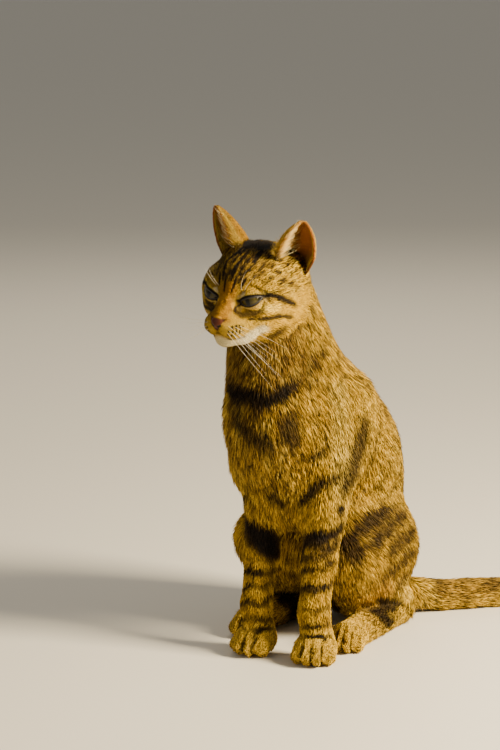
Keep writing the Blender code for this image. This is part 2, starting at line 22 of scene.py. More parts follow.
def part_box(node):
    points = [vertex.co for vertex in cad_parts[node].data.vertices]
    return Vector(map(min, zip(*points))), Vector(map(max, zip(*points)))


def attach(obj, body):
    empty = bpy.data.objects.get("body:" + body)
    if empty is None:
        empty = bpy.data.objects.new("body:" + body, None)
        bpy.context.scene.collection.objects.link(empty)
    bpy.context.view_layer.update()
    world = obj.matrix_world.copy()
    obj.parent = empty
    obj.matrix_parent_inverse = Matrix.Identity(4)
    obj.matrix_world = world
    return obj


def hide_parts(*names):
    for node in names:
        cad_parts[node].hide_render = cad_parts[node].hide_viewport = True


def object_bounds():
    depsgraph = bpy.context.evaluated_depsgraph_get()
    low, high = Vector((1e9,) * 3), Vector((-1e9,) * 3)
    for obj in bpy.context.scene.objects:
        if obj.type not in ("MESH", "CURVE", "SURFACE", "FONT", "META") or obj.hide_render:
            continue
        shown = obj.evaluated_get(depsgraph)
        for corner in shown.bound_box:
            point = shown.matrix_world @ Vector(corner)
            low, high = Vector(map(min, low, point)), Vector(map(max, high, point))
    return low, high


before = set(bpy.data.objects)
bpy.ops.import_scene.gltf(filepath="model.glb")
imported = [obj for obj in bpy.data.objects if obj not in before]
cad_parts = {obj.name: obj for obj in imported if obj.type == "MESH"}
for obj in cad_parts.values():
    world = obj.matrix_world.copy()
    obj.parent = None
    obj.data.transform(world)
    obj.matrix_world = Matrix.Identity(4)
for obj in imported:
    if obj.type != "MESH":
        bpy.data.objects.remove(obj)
CAD_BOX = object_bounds()

MM = 0.001
BODY = "root"
BAKE_MAP = "OFBake"
Array = np.ndarray
Point = tuple[float, float, float]
Line = tuple[Point, ...]
Face = tuple[int, int, int]
log = logging.getLogger("cat")


def linear(code: str) -> Point:
    """Linear light values of an sRGB colour written as a hex code."""
    parts = [int(code[start : start + 2], 16) / 255.0 for start in (1, 3, 5)]
    return tuple(c / 12.92 if c <= 0.04045 else ((c + 0.055) / 1.055) ** 2.4 for c in parts)


def smooth(low: float, high: float, value: Array) -> Array:
    """A soft step from 0 at low to 1 at high."""
    share = np.clip((value - low) / (high - low), 0.0, 1.0)
    return share * share * (3.0 - 2.0 * share)


def unit(vectors: Array) -> Array:
    """Vectors of length one along the given ones."""
    length = np.linalg.norm(vectors, axis=-1, keepdims=True)
    return vectors / np.maximum(length, 1e-9)


def wobble(points: Array, size: float, seed: int, waves: int = 7) -> Array:
    """A soft random field, about -1 to 1, whose lumps are as wide as the given size.

    Args:
        points: places in millimetres.
        size: width of one lump in millimetres.
        seed: picks one field of many.
        waves: how many waves are added up.

    Returns:
        One value for each place.
    """
    rng = np.random.default_rng(seed)
    total = np.zeros(len(points))
    for _ in range(waves):
        way = unit(rng.normal(size=3)) * math.pi / size * rng.uniform(0.7, 1.5)
        total += np.sin(points @ way + rng.uniform(0.0, 2.0 * math.pi))
    return total / 3.2


def along_line(
    points: Array, line: Line, out: Array | None = None, slack: float = 14.0
) -> tuple[Array, Array]:
    """Distance from each place to a bent line, and the share of the line's run passed there.

    Args:
        points: places, in the line's own units.
        line: the line's corners in order.
        out: the way the surface faces at each place; if given, only a tenth of the distance
            along it counts, so that a line may run a little above or below the surface.
        slack: how far above or below it may run.

    Returns:
        The distances, and the shares from 0 to 1.
    """
    corners = np.array(line, float)
    steps = np.linalg.norm(np.diff(corners, axis=0), axis=1)
    whole = steps.sum()
    near = np.full(len(points), np.inf)
    share = np.zeros(len(points))
    passed = 0.0
    for start, end, length in zip(corners, corners[1:], steps):
        part = np.clip((points - start) @ (end - start) / length**2, 0.0, 1.0)
        off = points - start - part[:, None] * (end - start)
        gap = np.linalg.norm(off, axis=1)
        if out is not None:
            straight = np.sum(off * out, axis=1)
            flat = np.sqrt(np.maximum(gap**2 - 0.99 * straight**2, 0.0))
            gap = np.where(gap < slack, flat, gap)
        closer = gap < near
        near = np.where(closer, gap, near)
        share = np.where(closer, (passed + part * length) / whole, share)
        passed += length
    return near, share


def fill(node: bpy.types.Node, values: dict) -> None:
    """Link or fill a node's inputs.

    Args:
        node: the node.
        values: for each input, by name or number, a value to set, a socket to link, or a node
            whose first live output is linked.
    """
    for key, value in values.items():
        if isinstance(key, int):
            socket = node.inputs[key]
        else:
            socket = next(s for s in node.inputs if s.name == key and s.enabled)
        if isinstance(value, bpy.types.Node):
            value = next(s for s in value.outputs if s.enabled)
        if isinstance(value, bpy.types.NodeSocket):
            node.id_data.links.new(value, socket)
        else:
            socket.default_value = value


def add_node(tree: bpy.types.NodeTree, kind: str, values: dict, **settings: Any) -> bpy.types.Node:
    """Add a node, set its choices, and link or fill its inputs.

    Args:
        tree: the tree that takes the node.
        kind: Blender's name for the kind of node.
        values: what its inputs take, as for fill.
        settings: the node's own properties.

    Returns:
        The new node.
    """
    node = tree.nodes.new(kind)
    for name, choice in settings.items():
        setattr(node, name, choice)
    fill(node, values)
    return node


# ---- anatomy


class Side(Enum):
    """The cat's own left or right, as a sign along the head's X."""

    LEFT = 1.0
    RIGHT = -1.0

    @property
    def word(self) -> str:
        """The side's name as the frame writes it."""
        return self.name.lower()

    @property
    def flip(self) -> Array:
        """What turns a place on the cat's left side to this side."""
        return np.array([self.value, 1.0, 1.0])


def folded(own: Array) -> Array:
    """Places of the head's frame, those on the right brought to the left side."""
    return np.column_stack([np.abs(own[:, 0]), own[:, 1:]])


@dataclass
class Head:
    """The head's own frame, in millimetres: X to the cat's left, Y to the nape, Z to the crown."""

    eye_middle: Point = (0.0, -4.8, 2.0)
    nose_middle: Point = (0.0, -31.2, -14.15)
    axes: Array = field(init=False)
    origin: Array = field(init=False)

    def __post_init__(self) -> None:
        """Find the frame's axes from the two eyes and the nose."""
        left, right, nose = (centre_of(name) for name in ("left_eye", "right_eye", "nose"))
        across = unit(left - right)
        eyes = (left + right) / 2.0
        run = nose - eyes
        run = unit(run - across * (run @ across))
        own = np.array(self.nose_middle) - np.array(self.eye_middle)
        back, rise = own[1:] / np.linalg.norm(own[1:])
        upright = np.cross(across, run)
        length_axis = back * run - rise * upright
        height_axis = rise * run + back * upright
        self.axes = np.stack([across, length_axis, height_axis], axis=1)
        self.origin = eyes - self.axes @ np.array(self.eye_middle)

    def inward(self, points: Array) -> Array:
        """Places of the cat's frame (mm) in the head's frame."""
        return (points - self.origin) @ self.axes

    def outward(self, points: Array) -> Array:
        """Places of the head's frame in the cat's frame (mm)."""
        return np.asarray(points, float) @ self.axes.T + self.origin


def centre_of(node: str) -> Array:
    """The middle of a CAD node's box, in millimetres."""
    low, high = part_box(node)
    return (np.array(low) + np.array(high)) / 2.0 / MM


@dataclass(frozen=True)
class Lie:
    """How the coat lies on one part of the body: lengths in mm, angles in degrees."""

    way: Point
    reach: float
    breadth: float
    rise: float
    depth: float
    settle: int


TRUNK_SETTLE = 84
LIMB_SETTLE = 36
FINE_SETTLE = 9

LIES = {
    "head": Lie((0.0, 1.0, -0.3), 5.0, 1.0, 12.0, 1.1, FINE_SETTLE),
    "nose": Lie((0.0, 1.0, 0.0), 1.0, 0.5, 5.0, 0.4, FINE_SETTLE),
    "ear": Lie((0.0, 0.0, 1.0), 3.4, 0.75, 9.0, 0.1, 6),
    "neck": Lie((0.0, 0.30, -0.95), 11.0, 0.75, 14.0, 3.0, TRUNK_SETTLE),
    "chest": Lie((0.0, 0.38, -0.92), 13.0, 0.82, 15.0, 3.2, TRUNK_SETTLE),
    "belly": Lie((0.0, 0.38, -0.92), 10.5, 0.85, 12.0, 2.7, TRUNK_SETTLE),
    "rump": Lie((0.0, 0.30, -0.95), 10.5, 0.85, 12.0, 2.7, TRUNK_SETTLE),
    "upper_foreleg": Lie((0.0, 0.12, -0.99), 9.0, 0.82, 12.0, 2.2, TRUNK_SETTLE),
    "forearm": Lie((0.0, 0.05, -1.0), 5.5, 0.85, 11.0, 1.5, LIMB_SETTLE),
    "forepaw": Lie((0.0, -0.85, -0.5), 4.6, 0.75, 10.0, 0.9, 5),
    "thigh": Lie((0.0, 0.45, -0.89), 11.5, 0.9, 13.0, 2.8, TRUNK_SETTLE),
    "lower_leg": Lie((0.0, 0.2, -0.98), 9.0, 0.95, 14.0, 1.8, LIMB_SETTLE),
    "hind_foot": Lie((0.0, -1.0, -0.25), 5.4, 0.8, 10.0, 1.0, 5),
    "tail": Lie((0.0, 1.0, 0.0), 11.0, 1.0, 14.0, 2.6, LIMB_SETTLE),
}

TAIL = ("tail_root", "tail_middle", "tail_end", "tail_tip")
EYES = ("left_eye", "right_eye")


def lie_name(node: str) -> str:
    """The row of the coat's table that a CAD node follows."""
    plain = node.replace("left_", "").replace("right_", "")
    return "tail" if plain.startswith("tail") else plain


@dataclass(frozen=True)
class Ear:
    """How an ear stands on the head (mm of the head's own side, degrees)."""

    base: Point
    tip: Point
    facing: float

    def axes(self, side: Side) -> Array:
        """Columns: towards its outer edge, out of its hollow, and up to its tip."""
        up = unit((np.array(self.tip) - np.array(self.base)) * side.flip)
        turn = math.radians(self.facing)
        front = np.array([side.value * math.sin(turn), -math.cos(turn), 0.0])
        front = unit(front - up * (front @ up))
        return np.stack([np.cross(up, front) * side.value, front, up], axis=1)


EARS = {
    Side.LEFT: Ear((29.5, 35.0, 21.0), (44.5, 27.5, 68.0), 38.0),
    Side.RIGHT: Ear((27.0, 37.0, 21.0), (44.5, 29.5, 67.0), 30.0),
}
# How far up from its base an ear's markings and hairs run (mm).
EAR_HEIGHT = 46.0

# The middle of the seat on the floor, from which places on the body are given.
SEAT = np.array([-81.9, 39.4, 0.0])


# The three grooves between a paw's toes, as shares of its width, and a groove's half width in mm.
TOE_GROOVES = (-0.47, 0.0, 0.47)
GROOVE = 1.2


@dataclass(frozen=True)
class Paw:
    """Where a paw's toes are parted: its middle and width in mm, how it is turned in degrees."""

    middle: tuple[float, float]
    turn: float
    width: float

    def grooves(self, places: Array) -> Array:
        """How deep in a groove between two toes each place is, from 0 to 1.

        Args:
            places: places from the middle of the seat on the floor (mm).

        Returns:
            One depth for each place.
        """
        turn = math.radians(self.turn)
        flat = places[:, :2] - np.array(self.middle)
        ahead = flat @ np.array([math.sin(turn), -math.cos(turn)])
        across = flat @ np.array([math.cos(turn), math.sin(turn)])
        depth = np.zeros(len(places))
        for share in TOE_GROOVES:
            line = share * self.width * (0.72 + 0.02 * ahead)
            depth = np.maximum(depth, np.exp(-(((across - line) / GROOVE) ** 2)))
        near = (np.abs(across) < self.width) & (ahead < self.width * 1.6)
        return depth * near * smooth(3.0, 12.0, ahead) * smooth(24.0, 15.0, places[:, 2])


PAWS = (
    Paw((36.0, -157.0), 18.0, 17.5),
    Paw((-20.5, -157.0), -6.0, 17.5),
    Paw((42.0, -108.0), 10.0, 14.0),
    Paw((-52.0, -109.0), -6.0, 14.0),
)


def toe_grooves(points: Array) -> Array:
    """How deep in a groove between any two toes each place of the cat's frame is."""
    return np.max([paw.grooves(points - SEAT) for paw in PAWS], axis=0)


# Lines cut into the face, in the head's frame, on the cat's left side; each with half its width
# and its depth in mm.
MOUTH = ((0, -29.5, -24), (5, -28, -28), (11, -20.5, -30.5), (18, -12, -27.5), (24, -7, -21))
NOSTRIL = ((2.2, -33, -17.4), (4.6, -31, -15.6))
PHILTRUM = ((0, -33, -20), (0, -30, -24))
FACE_CUTS = ((MOUTH, 1.1, 1.0), (NOSTRIL, 1.0, 1.3), (PHILTRUM, 0.8, 0.6))


# ---- skin


@dataclass
class Surface:
    """A triangle mesh as plain arrays, in millimetres, with what is known at each corner point."""

    points: Array
    faces: Array
    normals: Array = field(init=False)
    pairs: Array = field(init=False)

    def __post_init__(self) -> None:
        """Find each pair of neighbours, and which way the surface faces."""
        edges = np.vstack([self.faces[:, [0, 1]], self.faces[:, [1, 2]], self.faces[:, [2, 0]]])
        self.pairs = np.unique(np.sort(edges, axis=1), axis=0)
        self.face_out()

    def face_out(self) -> None:
        """Work out the normals again after points have moved."""
        a, b, c = (self.points[self.faces[:, k]] for k in range(3))
        across = np.cross(b - a, c - a)
        total = np.zeros_like(self.points)
        for k in range(3):
            for axis in range(3):
                total[:, axis] += np.bincount(
                    self.faces[:, k], across[:, axis], minlength=len(self.points)
                )
        self.normals = unit(total)

    def spread(self, values: Array, steps: int, pace: float | Array = 0.5) -> Array:
        """Values evened out between neighbours.

        Args:
            values: one number or one row of numbers for each point.
            steps: how many times neighbours are averaged.
            pace: how far each value moves to its neighbours' mean each time.

        Returns:
            The evened values.
        """
        first, second = self.pairs.T
        ends = np.concatenate([first, second])
        others = np.concatenate([second, first])
        count = np.maximum(np.bincount(ends, minlength=len(values)), 1)
        rows = values.reshape(len(values), -1).copy()
        share = np.broadcast_to(np.asarray(pace, float), (len(values),))
        for _ in range(steps):
            for column in range(rows.shape[1]):
                sums = np.bincount(ends, rows[others, column], minlength=len(values))
                rows[:, column] += share * (sums / count - rows[:, column])
        return rows.reshape(values.shape)


def mesh_arrays(mesh: bpy.types.Mesh) -> tuple[Array, Array]:
    """A mesh's points in millimetres and its triangles."""
    mesh.calc_loop_triangles()
    points = np.empty(len(mesh.vertices) * 3)
    mesh.vertices.foreach_get("co", points)
    faces = np.empty(len(mesh.loop_triangles) * 3, dtype=np.int32)
    mesh.loop_triangles.foreach_get("vertices", faces)
    return points.reshape(-1, 3) / MM, faces.reshape(-1, 3)


def mesh_from(name: str, points: Array, faces: Array) -> bpy.types.Mesh:
    """A smooth-shaded triangle mesh made from arrays in millimetres.

    Args:
        name: the mesh's name.
        points: its points in millimetres.
        faces: three point numbers for each triangle.

    Returns:
        The mesh, in metres.
    """
    mesh = bpy.data.meshes.new(name)
    mesh.vertices.add(len(points))
    mesh.vertices.foreach_set("co", (points * MM).astype(np.float32).ravel())
    mesh.loops.add(len(faces) * 3)
    mesh.loops.foreach_set("vertex_index", faces.astype(np.int32).ravel())
    mesh.polygons.add(len(faces))
    mesh.polygons.foreach_set("loop_start", np.arange(0, len(faces) * 3, 3, dtype=np.int32))
    mesh.update(calc_edges=True)
    mesh.shade_smooth()
    return mesh


def shown(name: str, mesh: bpy.types.Mesh) -> bpy.types.Object:
    """A new object in the scene that shows the mesh."""
    made = bpy.data.objects.new(name, mesh)
    bpy.context.scene.collection.objects.link(made)
    return made


def made_final(made: bpy.types.Object) -> bpy.types.Mesh:
    """The object's mesh with its modifiers applied, which are taken off."""
    bpy.context.view_layer.update()
    graph = bpy.context.evaluated_depsgraph_get()
    mesh = bpy.data.meshes.new_from_object(made.evaluated_get(graph))
    made.modifiers.clear()
    return mesh


def ring_faces(steps: int, sides: int, rows: int = 0) -> list[Face]:
    """The triangles between rings of points that follow one another.

    Args:
        steps: how many rings have a wall to the next one.
        sides: how many points a ring has.
        rows: how many rings there are, if the last joins the first.

    Returns:
        The triangles.
    """
    faces = []
    for row in range(steps):
        low = row * sides
        high = ((row + 1) % rows if rows else row + 1) * sides
        for k in range(sides):
            after = (k + 1) % sides
            faces += [(low + k, low + after, high + after), (low + k, high + after, high + k)]
    return faces


def cone_faces(low: int, sides: int, tip: int) -> list[Face]:
    """The triangles from a ring of points, which starts at a number, to one point past it."""
    return [(low + k, low + (k + 1) % sides, tip) for k in range(sides)]


def from_bmesh(name: str, bm: bmesh.types.BMesh) -> bpy.types.Mesh:
    """A mesh made from a BMesh, which is freed."""
    mesh = bpy.data.meshes.new(name)
    bm.to_mesh(mesh)
    bm.free()
    return mesh


def modified(mesh: bpy.types.Mesh, kind: str, **settings: Any) -> tuple[Array, Array]:
    """What one modifier makes of a mesh.

    Args:
        mesh: the mesh.
        kind: Blender's name for the kind of modifier.
        settings: the modifier's own properties.

    Returns:
        The points in millimetres and the triangles.
    """
    made = shown(mesh.name, mesh)
    change = made.modifiers.new(kind, kind)
    for name, choice in settings.items():
        setattr(change, name, choice)
    arrays = mesh_arrays(made_final(made))
    bpy.data.objects.remove(made)
    return arrays


def store(mesh: bpy.types.Mesh, name: str, kind: str, values: Array) -> None:
    """Write one named value for each point of a mesh.

    Args:
        mesh: the mesh that takes the values.
        name: what the values are called.
        kind: FLOAT, FLOAT_VECTOR or FLOAT_COLOR.
        values: one row for each point.
    """
    data_name = {"FLOAT": "value", "FLOAT_VECTOR": "vector", "FLOAT_COLOR": "color"}[kind]
    layer = mesh.attributes.new(name, kind, "POINT")
    layer.data.foreach_set(data_name, values.astype(np.float32).ravel())


@dataclass(frozen=True)
class Ridge:
    """A rounded ridge along the lids: its height in mm, its degrees from the opening, its width."""

    height: float
    off: float
    width: float

    def at(self, inside: Array) -> Array:
        """Its height at each place, from that place's degrees inside the opening."""
        return self.height * np.exp(-(((inside + self.off) / self.width) ** 2))


@dataclass
class EyeSet:
    """Where an eye sits in the head and how its lids are held (mm and degrees, cat's left eye)."""

    at: Point = (16.6, -4.8, 2.0)
    radius: float = 10.2
    gaze_out: float = 17.0
    slant: float = 18.0
    outer: float = 66.0
    inner: float = 55.0
    upper: float = 17.0
    lower: float = 18.0
    lid: float = 0.7
    hollow: float = 1.6
    socket: float = 5.0
    fold: Ridge = Ridge(0.5, 20.0, 4.0)
    roll: Ridge = Ridge(0.45, 6.0, 5.0)
    drawn: float = 0.65
    round_corner: float = 2.0
    shut: float = -90.0
    unseen: float = 1000.0

    def axes(self, side: Side) -> Array:
        """Columns: towards the outer corner, along the gaze, and up; in the head's frame."""
        out = math.radians(self.gaze_out)
        gaze = np.array([side.value * math.sin(out), -math.cos(out), 0.0])
        level = np.array([side.value * math.cos(out), math.sin(out), 0.0])
        turn = math.radians(self.slant)
        corner = level * math.cos(turn) + np.array([0.0, 0.0, math.sin(turn)])
        up = np.array([0.0, 0.0, math.cos(turn)]) - level * math.sin(turn)
        return np.stack([corner, gaze, up], axis=1)

    def centre(self, side: Side) -> Array:
        """The middle of the eyeball in the head's frame."""
        return np.array(self.at) * side.flip

    def opening(self, across: Array, rise: Array) -> Array:
        """How far inside the lids' edge a direction is, in degrees (negative on the lids).

        Args:
            across: degrees towards the outer corner.
            rise: degrees above the gaze.

        Returns:
            Degrees to the nearest edge or corner.
        """
        top, bottom = self.edges(across)
        past = np.maximum(across - self.outer, -across - self.inner)
        between = np.minimum(np.minimum(top - rise, rise - bottom), self.round_corner - past)
        return np.where(past > 0.0, -np.hypot(past, rise), between)

    def edges(self, across: Array) -> tuple[Array, Array]:
        """The rise at which the upper and the lower lid end, that far towards the corner."""
        half = np.where(across > 0.0, self.outer, self.inner)
        full = np.clip(1.0 - (across / half) ** 2, 0.0, None)
        return self.upper * full**0.75, -self.lower * full**0.95

    def degrees(self, own: Array, side: Side) -> tuple[Array, Array, Array]:
        """Places of the head's frame as seen from the middle of an eye.

        Args:
            own: the places.
            side: which eye.

        Returns:
            Degrees towards the outer corner, degrees of rise, and the distance in millimetres,
            which is very long for places behind the eye.
        """
        local = (own - self.centre(side)) @ self.axes(side)
        far = np.linalg.norm(local, axis=1)
        across = np.degrees(np.arctan2(local[:, 0], local[:, 1]))
        rise = np.degrees(np.arcsin(np.clip(local[:, 2] / far, -1.0, 1.0)))
        return across, rise, np.where(local[:, 1] > -2.0, far, self.unseen)

    def inside(self, own: Array) -> Array:
        """How many degrees inside the nearer eye's opening each place of the head's frame is."""
        best = np.full(len(own), self.shut)
        for side in Side:
            across, rise, far = self.degrees(own, side)
            here = np.where(far < self.radius + 9.0, self.opening(across, rise), self.shut)
            best = np.maximum(best, here)
        return best


@dataclass
class Skin:
    """The cat's one skin: it wraps every flesh node, inside them by the depth of the coat (mm).

    Blends and spans are how many times neighbouring points are averaged.
    """

    head: Head
    eyes: EyeSet
    voxel: float = 0.85
    swell: float = 0.35
    triangles: int = 80000
    toe_depth: float = 2.4
    settle_blend: int = 12
    depth_blend: int = 30
    crease_span: int = 10
    crease_depths: tuple[float, float] = (0.04, 0.45)
    face_middle: Point = (0.0, -27.0, -8.0)
    face_reach: float = 29.0
    surface: Surface = field(init=False)
    nodes: Array = field(init=False)
    names: list[str] = field(init=False)
    crease: Array = field(init=False)

    def build(self) -> None:
        """Wrap, smooth and sink the skin, thin it, refine it where it shows most, and sculpt it."""
        self.names = [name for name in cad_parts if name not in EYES]
        whole = Surface(*self.wrapped())
        self.label(whole.points)
        kinds = [LIES[lie_name(name)] for name in self.names]
        settle, depth = np.array([(lie.settle, lie.depth) for lie in kinds])[self.nodes].T
        pace = whole.spread(0.5 * settle / TRUNK_SETTLE, self.settle_blend)
        whole.points = whole.spread(whole.points, TRUNK_SETTLE, pace)
        whole.face_out()
        depth = whole.spread(depth, self.depth_blend)
        whole.points = whole.points - whole.normals * depth[:, None]
        self.surface = Surface(*self.refined(whole, *self.thinned(whole)))
        self.label(self.surface.points)
        self.sculpt(self.surface)
        points = self.surface.points
        # How deep each point lies in a crease or hollow, from 0 to 1, which the markings darken as
        # painted shade.
        filled = self.surface.spread(points, self.crease_span)
        hollow = np.sum((filled - points) * self.surface.normals, axis=1)
        self.crease = smooth(*self.crease_depths, self.surface.spread(hollow, 2))
        log.info("skin: %d points, %d triangles", len(points), len(self.surface.faces))

    def wrapped(self) -> tuple[Array, Array]:
        """One closed wrap of all flesh nodes and of the lids over the eyes.

        Returns:
            Its points and triangles.
        """
        bm = bmesh.new()
        for name in self.names:
            part = bmesh.new()
            part.from_mesh(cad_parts[name].data)
            bmesh.ops.remove_doubles(part, verts=part.verts, dist=0.00001)
            part.normal_update()
            for vert in part.verts:
                vert.co += vert.normal * self.swell * MM
            mesh = from_bmesh(name, part)
            bm.from_mesh(mesh)
            bpy.data.meshes.remove(mesh)
        for side in Side:
            centre = self.head.outward(self.eyes.centre(side)) * MM
            bmesh.ops.create_uvsphere(
                bm,
                u_segments=48,
                v_segments=32,
                radius=(self.eyes.radius + self.eyes.lid) * MM,
                matrix=Matrix.Translation(Vector(centre)),
            )
        size = self.voxel * MM
        wrap = modified(from_bmesh("wrap", bm), "REMESH", mode="VOXEL", voxel_size=size)
        return largest_island(*wrap)

    def on(self, *kinds: str) -> Array:
        """Which points lie on the named kinds of node (or on nodes with exactly these names)."""
        names = enumerate(self.names)
        return np.isin(self.nodes, [k for k, name in names if {name, lie_name(name)} & set(kinds)])

    def ear_view(self, side: Side) -> tuple[Array, Array, Array]:
        """The whole skin as seen along the axes of one ear.

        Returns:
            Which points are on the ear, every point's place from its base (mm), and how far
            every point faces the way that its hollow does.
        """
        ear = EARS[side]
        axes = ear.axes(side)
        own = self.head.inward(self.surface.points)
        place = (own - np.array(ear.base) * side.flip) @ axes
        facing = (self.surface.normals @ self.head.axes) @ axes[:, 1]
        return self.on(side.word + "_ear"), place, facing

    def label(self, points: Array) -> None:
        """Note which flesh node each point lies nearest to.

        Args:
            points: the points, in the cat's frame.
        """
        corners: list[Any] = []
        faces: list[Any] = []
        owner: list[int] = []
        for number, name in enumerate(self.names):
            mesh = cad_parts[name].data
            start = len(corners)
            corners += [vert.co for vert in mesh.vertices]
            for face in mesh.polygons:
                faces.append([start + index for index in face.vertices])
                owner.append(number)
        tree = BVHTree.FromPolygons(corners, faces)
        places = (points * MM).tolist()
        self.nodes = np.array([owner[tree.find_nearest(place)[2]] for place in places])

    def sculpt(self, surface: Surface) -> None:
        """Part the toes, cut the nostrils and the mouth, and open the lids over each eye."""
        toes = toe_grooves(surface.points) * self.on("forepaw", "hind_foot")
        surface.points = surface.points - surface.normals * (self.toe_depth * toes)[:, None]
        own = self.head.inward(surface.points)
        left = folded(own)
        out = surface.normals @ self.head.axes
        for line, width, deep in FACE_CUTS:
            gap = along_line(left, line)[0]
            own = own - out * (deep * np.exp(-((gap / width) ** 2)))[:, None]
        for side in Side:
            own = self.opened(own, side)
        surface.points = self.head.outward(own)
        surface.face_out()

    def opened(self, own: Array, side: Side) -> Array:
        """Fold the lids over one eye, draw them in to the ball and open them.

        Args:
            own: the skin's places in the head's frame.
            side: which eye.

        Returns:
            The places after this.
        """
        eyes = self.eyes
        centre = eyes.centre(side)
        lids = eyes.radius + eyes.lid
        across, rise, far = eyes.degrees(own, side)
        inside = eyes.opening(across, rise)
        near = far < eyes.radius + eyes.socket
        roll = eyes.roll.at(inside) * near
        reach = far - eyes.fold.at(inside) * near * (rise > 0.0) + roll
        pull = smooth(-34.0, -4.0, inside) * near * (reach > lids)
        reach = reach + (lids + roll - reach) * eyes.drawn * pull
        reach = np.where(near, np.maximum(reach, lids), reach)
        floor = np.minimum(eyes.radius - eyes.hollow, reach)
        reach = reach + (floor - reach) * smooth(-3.0, 4.0, inside) * near
        scale = np.where(near, reach / far, 1.0)
        return centre + (own - centre) * scale[:, None]

    def thinned(self, surface: Surface) -> tuple[Array, Array]:
        """The points and triangles of the skin with far fewer triangles."""
        mesh = mesh_from("thin", surface.points, surface.faces)
        return modified(mesh, "DECIMATE", ratio=self.triangles / len(surface.faces))

    def refined(self, whole: Surface, points: Array, faces: Array) -> tuple[Array, Array]:
        """Halve the edges of the head and paws, and those of the face again, on the whole skin.

        Args:
            whole: the skin before it was thinned, on which new points are set.
            points: the thinned skin's points.
            faces: the thinned skin's triangles.

        Returns:
            The refined points and triangles.
        """
        tree = BVHTree.FromPolygons(whole.points.tolist(), whole.faces.tolist())
        for face_only in (False, True):
            self.label(points)
            fine = self.on("head", "nose", "ear", "forepaw", "hind_foot")
            if face_only:
                off = self.head.inward(points) - np.array(self.face_middle)
                fine = np.linalg.norm(off, axis=1) < self.face_reach
            bm = bmesh.new()
            mesh = mesh_from("fine", points, faces)
            bm.from_mesh(mesh)
            edges = [edge for edge in bm.edges if all(fine[vert.index] for vert in edge.verts)]
            bmesh.ops.subdivide_edges(bm, edges=edges, cuts=1, use_grid_fill=True)
            bmesh.ops.triangulate(bm, faces=bm.faces)
            bm.to_mesh(mesh)
            bm.free()
            known = len(points)
            points, faces = mesh_arrays(mesh)
            bpy.data.meshes.remove(mesh)
            for number in range(known, len(points)):
                points[number] = tree.find_nearest(points[number].tolist())[0]
        return points, faces


def largest_island(points: Array, faces: Array) -> tuple[Array, Array]:
    """Only the biggest connected part of a mesh.

    Args:
        points: the mesh's points.
        faces: its triangles.

    Returns:
        The points and triangles of that part.
    """
    label = np.arange(len(points))
    while True:
        low = label[faces].min(axis=1)
        before = label.copy()
        for k in range(3):
            np.minimum.at(label, faces[:, k], low)
        label = label[label]
        if np.array_equal(before, label):
            break
    kept = np.bincount(label).argmax()
    keep = label == kept
    order = np.cumsum(keep) - 1
    return points[keep], order[faces[keep[faces[:, 0]]]]


# ---- markings


class Hue(Enum):
    """The colours of the coat and of the bare skin, as sRGB."""

    GOLD = "#c99f22"
    BROWN = "#816120"
    PALE = "#e8c956"
    CREAM = "#f6e6b6"
    RUFOUS = "#bd7a22"
    BAR = "#402c10"
    BLACK = "#150d07"
    LEATHER = "#4a2416"
    EAR_SKIN = "#b06a34"

    @property
    def light(self) -> Array:
        """The colour's linear values."""
        return np.array(linear(self.value))


@dataclass(frozen=True)
class Bar:
    """A bar of darker hair (mm): the parts it is on, its run on the cat's left, its middle width.

    Then come how dark it is, how soft its edges are, how many dashes it is broken into (none if
    0), and whether it is on both sides.
    """

    parts: tuple[str, ...]
    line: Line
    width: float
    strength: float = 1.0
    soft: float = 0.25
    dashes: int = 0
    both: bool = True


FACE = ("head", "nose")
# Bars of the head, in its own frame.
HEAD_BARS = (
    Bar(FACE, ((0, 44, 32), (0, 30, 36), (2, 17, 34.5)), 13),
    Bar(FACE, ((11, 42, 33), (9, 26, 35.5), (5, 17, 34.5)), 12),
    Bar(FACE, ((8, 18, 34), (10.5, 3, 29)), 4.6),
    Bar(FACE, ((0, 17, 34), (0.5, -4, 26), (1, -14, 16)), 3),
    Bar(FACE, ((4, 16, 34), (6, -2, 27), (4.5, -12, 17), (3.5, -17, 7)), 2.8),
    Bar(FACE, ((11, 10, 31), (12, -1, 26), (9, -9, 20), (7, -13, 14)), 2.9),
    Bar(FACE, ((18, 10, 29), (18, -3, 21.5), (15, -9, 15.5)), 2.8, 0.8),
    Bar(FACE, ((12.5, -9.5, 19), (10.5, -12, 14), (10, -13.5, 10)), 2.4),
    Bar(FACE, ((11, -16, -1.5), (9.5, -18.5, -3.5), (9.5, -20.5, -8)), 2.8),
    Bar(FACE, ((9, -20, -6), (14, -16, -10), (21, -11, -9.5), (26, -7, -7)), 6.5, 0.8, 1.5),
    Bar(FACE, ((25, -8.5, 5), (32, -3, 7), (37, 3, 3), (42, 20, -7)), 4.6),
    Bar(FACE, ((17, -13, -14), (28, -5, -13), (36, 3, -11.5), (40, 16, -16)), 4, 0.9),
    Bar(FACE, ((25, 3, -31), (30, 7, -28), (36, 12, -22)), 7, 0.8, 2),
    Bar(FACE, ((11.5, -30, -17), (18.5, -19, -18)), 3.2, 1, 0.2, 4),
    Bar(FACE, ((9, -31, -20.5), (18.5, -19.5, -21.5)), 3.2, 1, 0.2, 5),
    Bar(FACE, ((8, -30, -24), (17, -24, -24.8)), 3, 0.9, 0.2, 4),
)

# The pale column and painted highlight down each shoulder, from the middle of the seat on the floor.
SHOULDER = ((28, -114, 226), (35, -116, 202), (40, -121, 176), (44, -128, 148))

TRUNK = ("neck", "chest")
THIGH = ("thigh", "lower_leg", "rump")
ARM = ("upper_foreleg", "chest", "forearm")
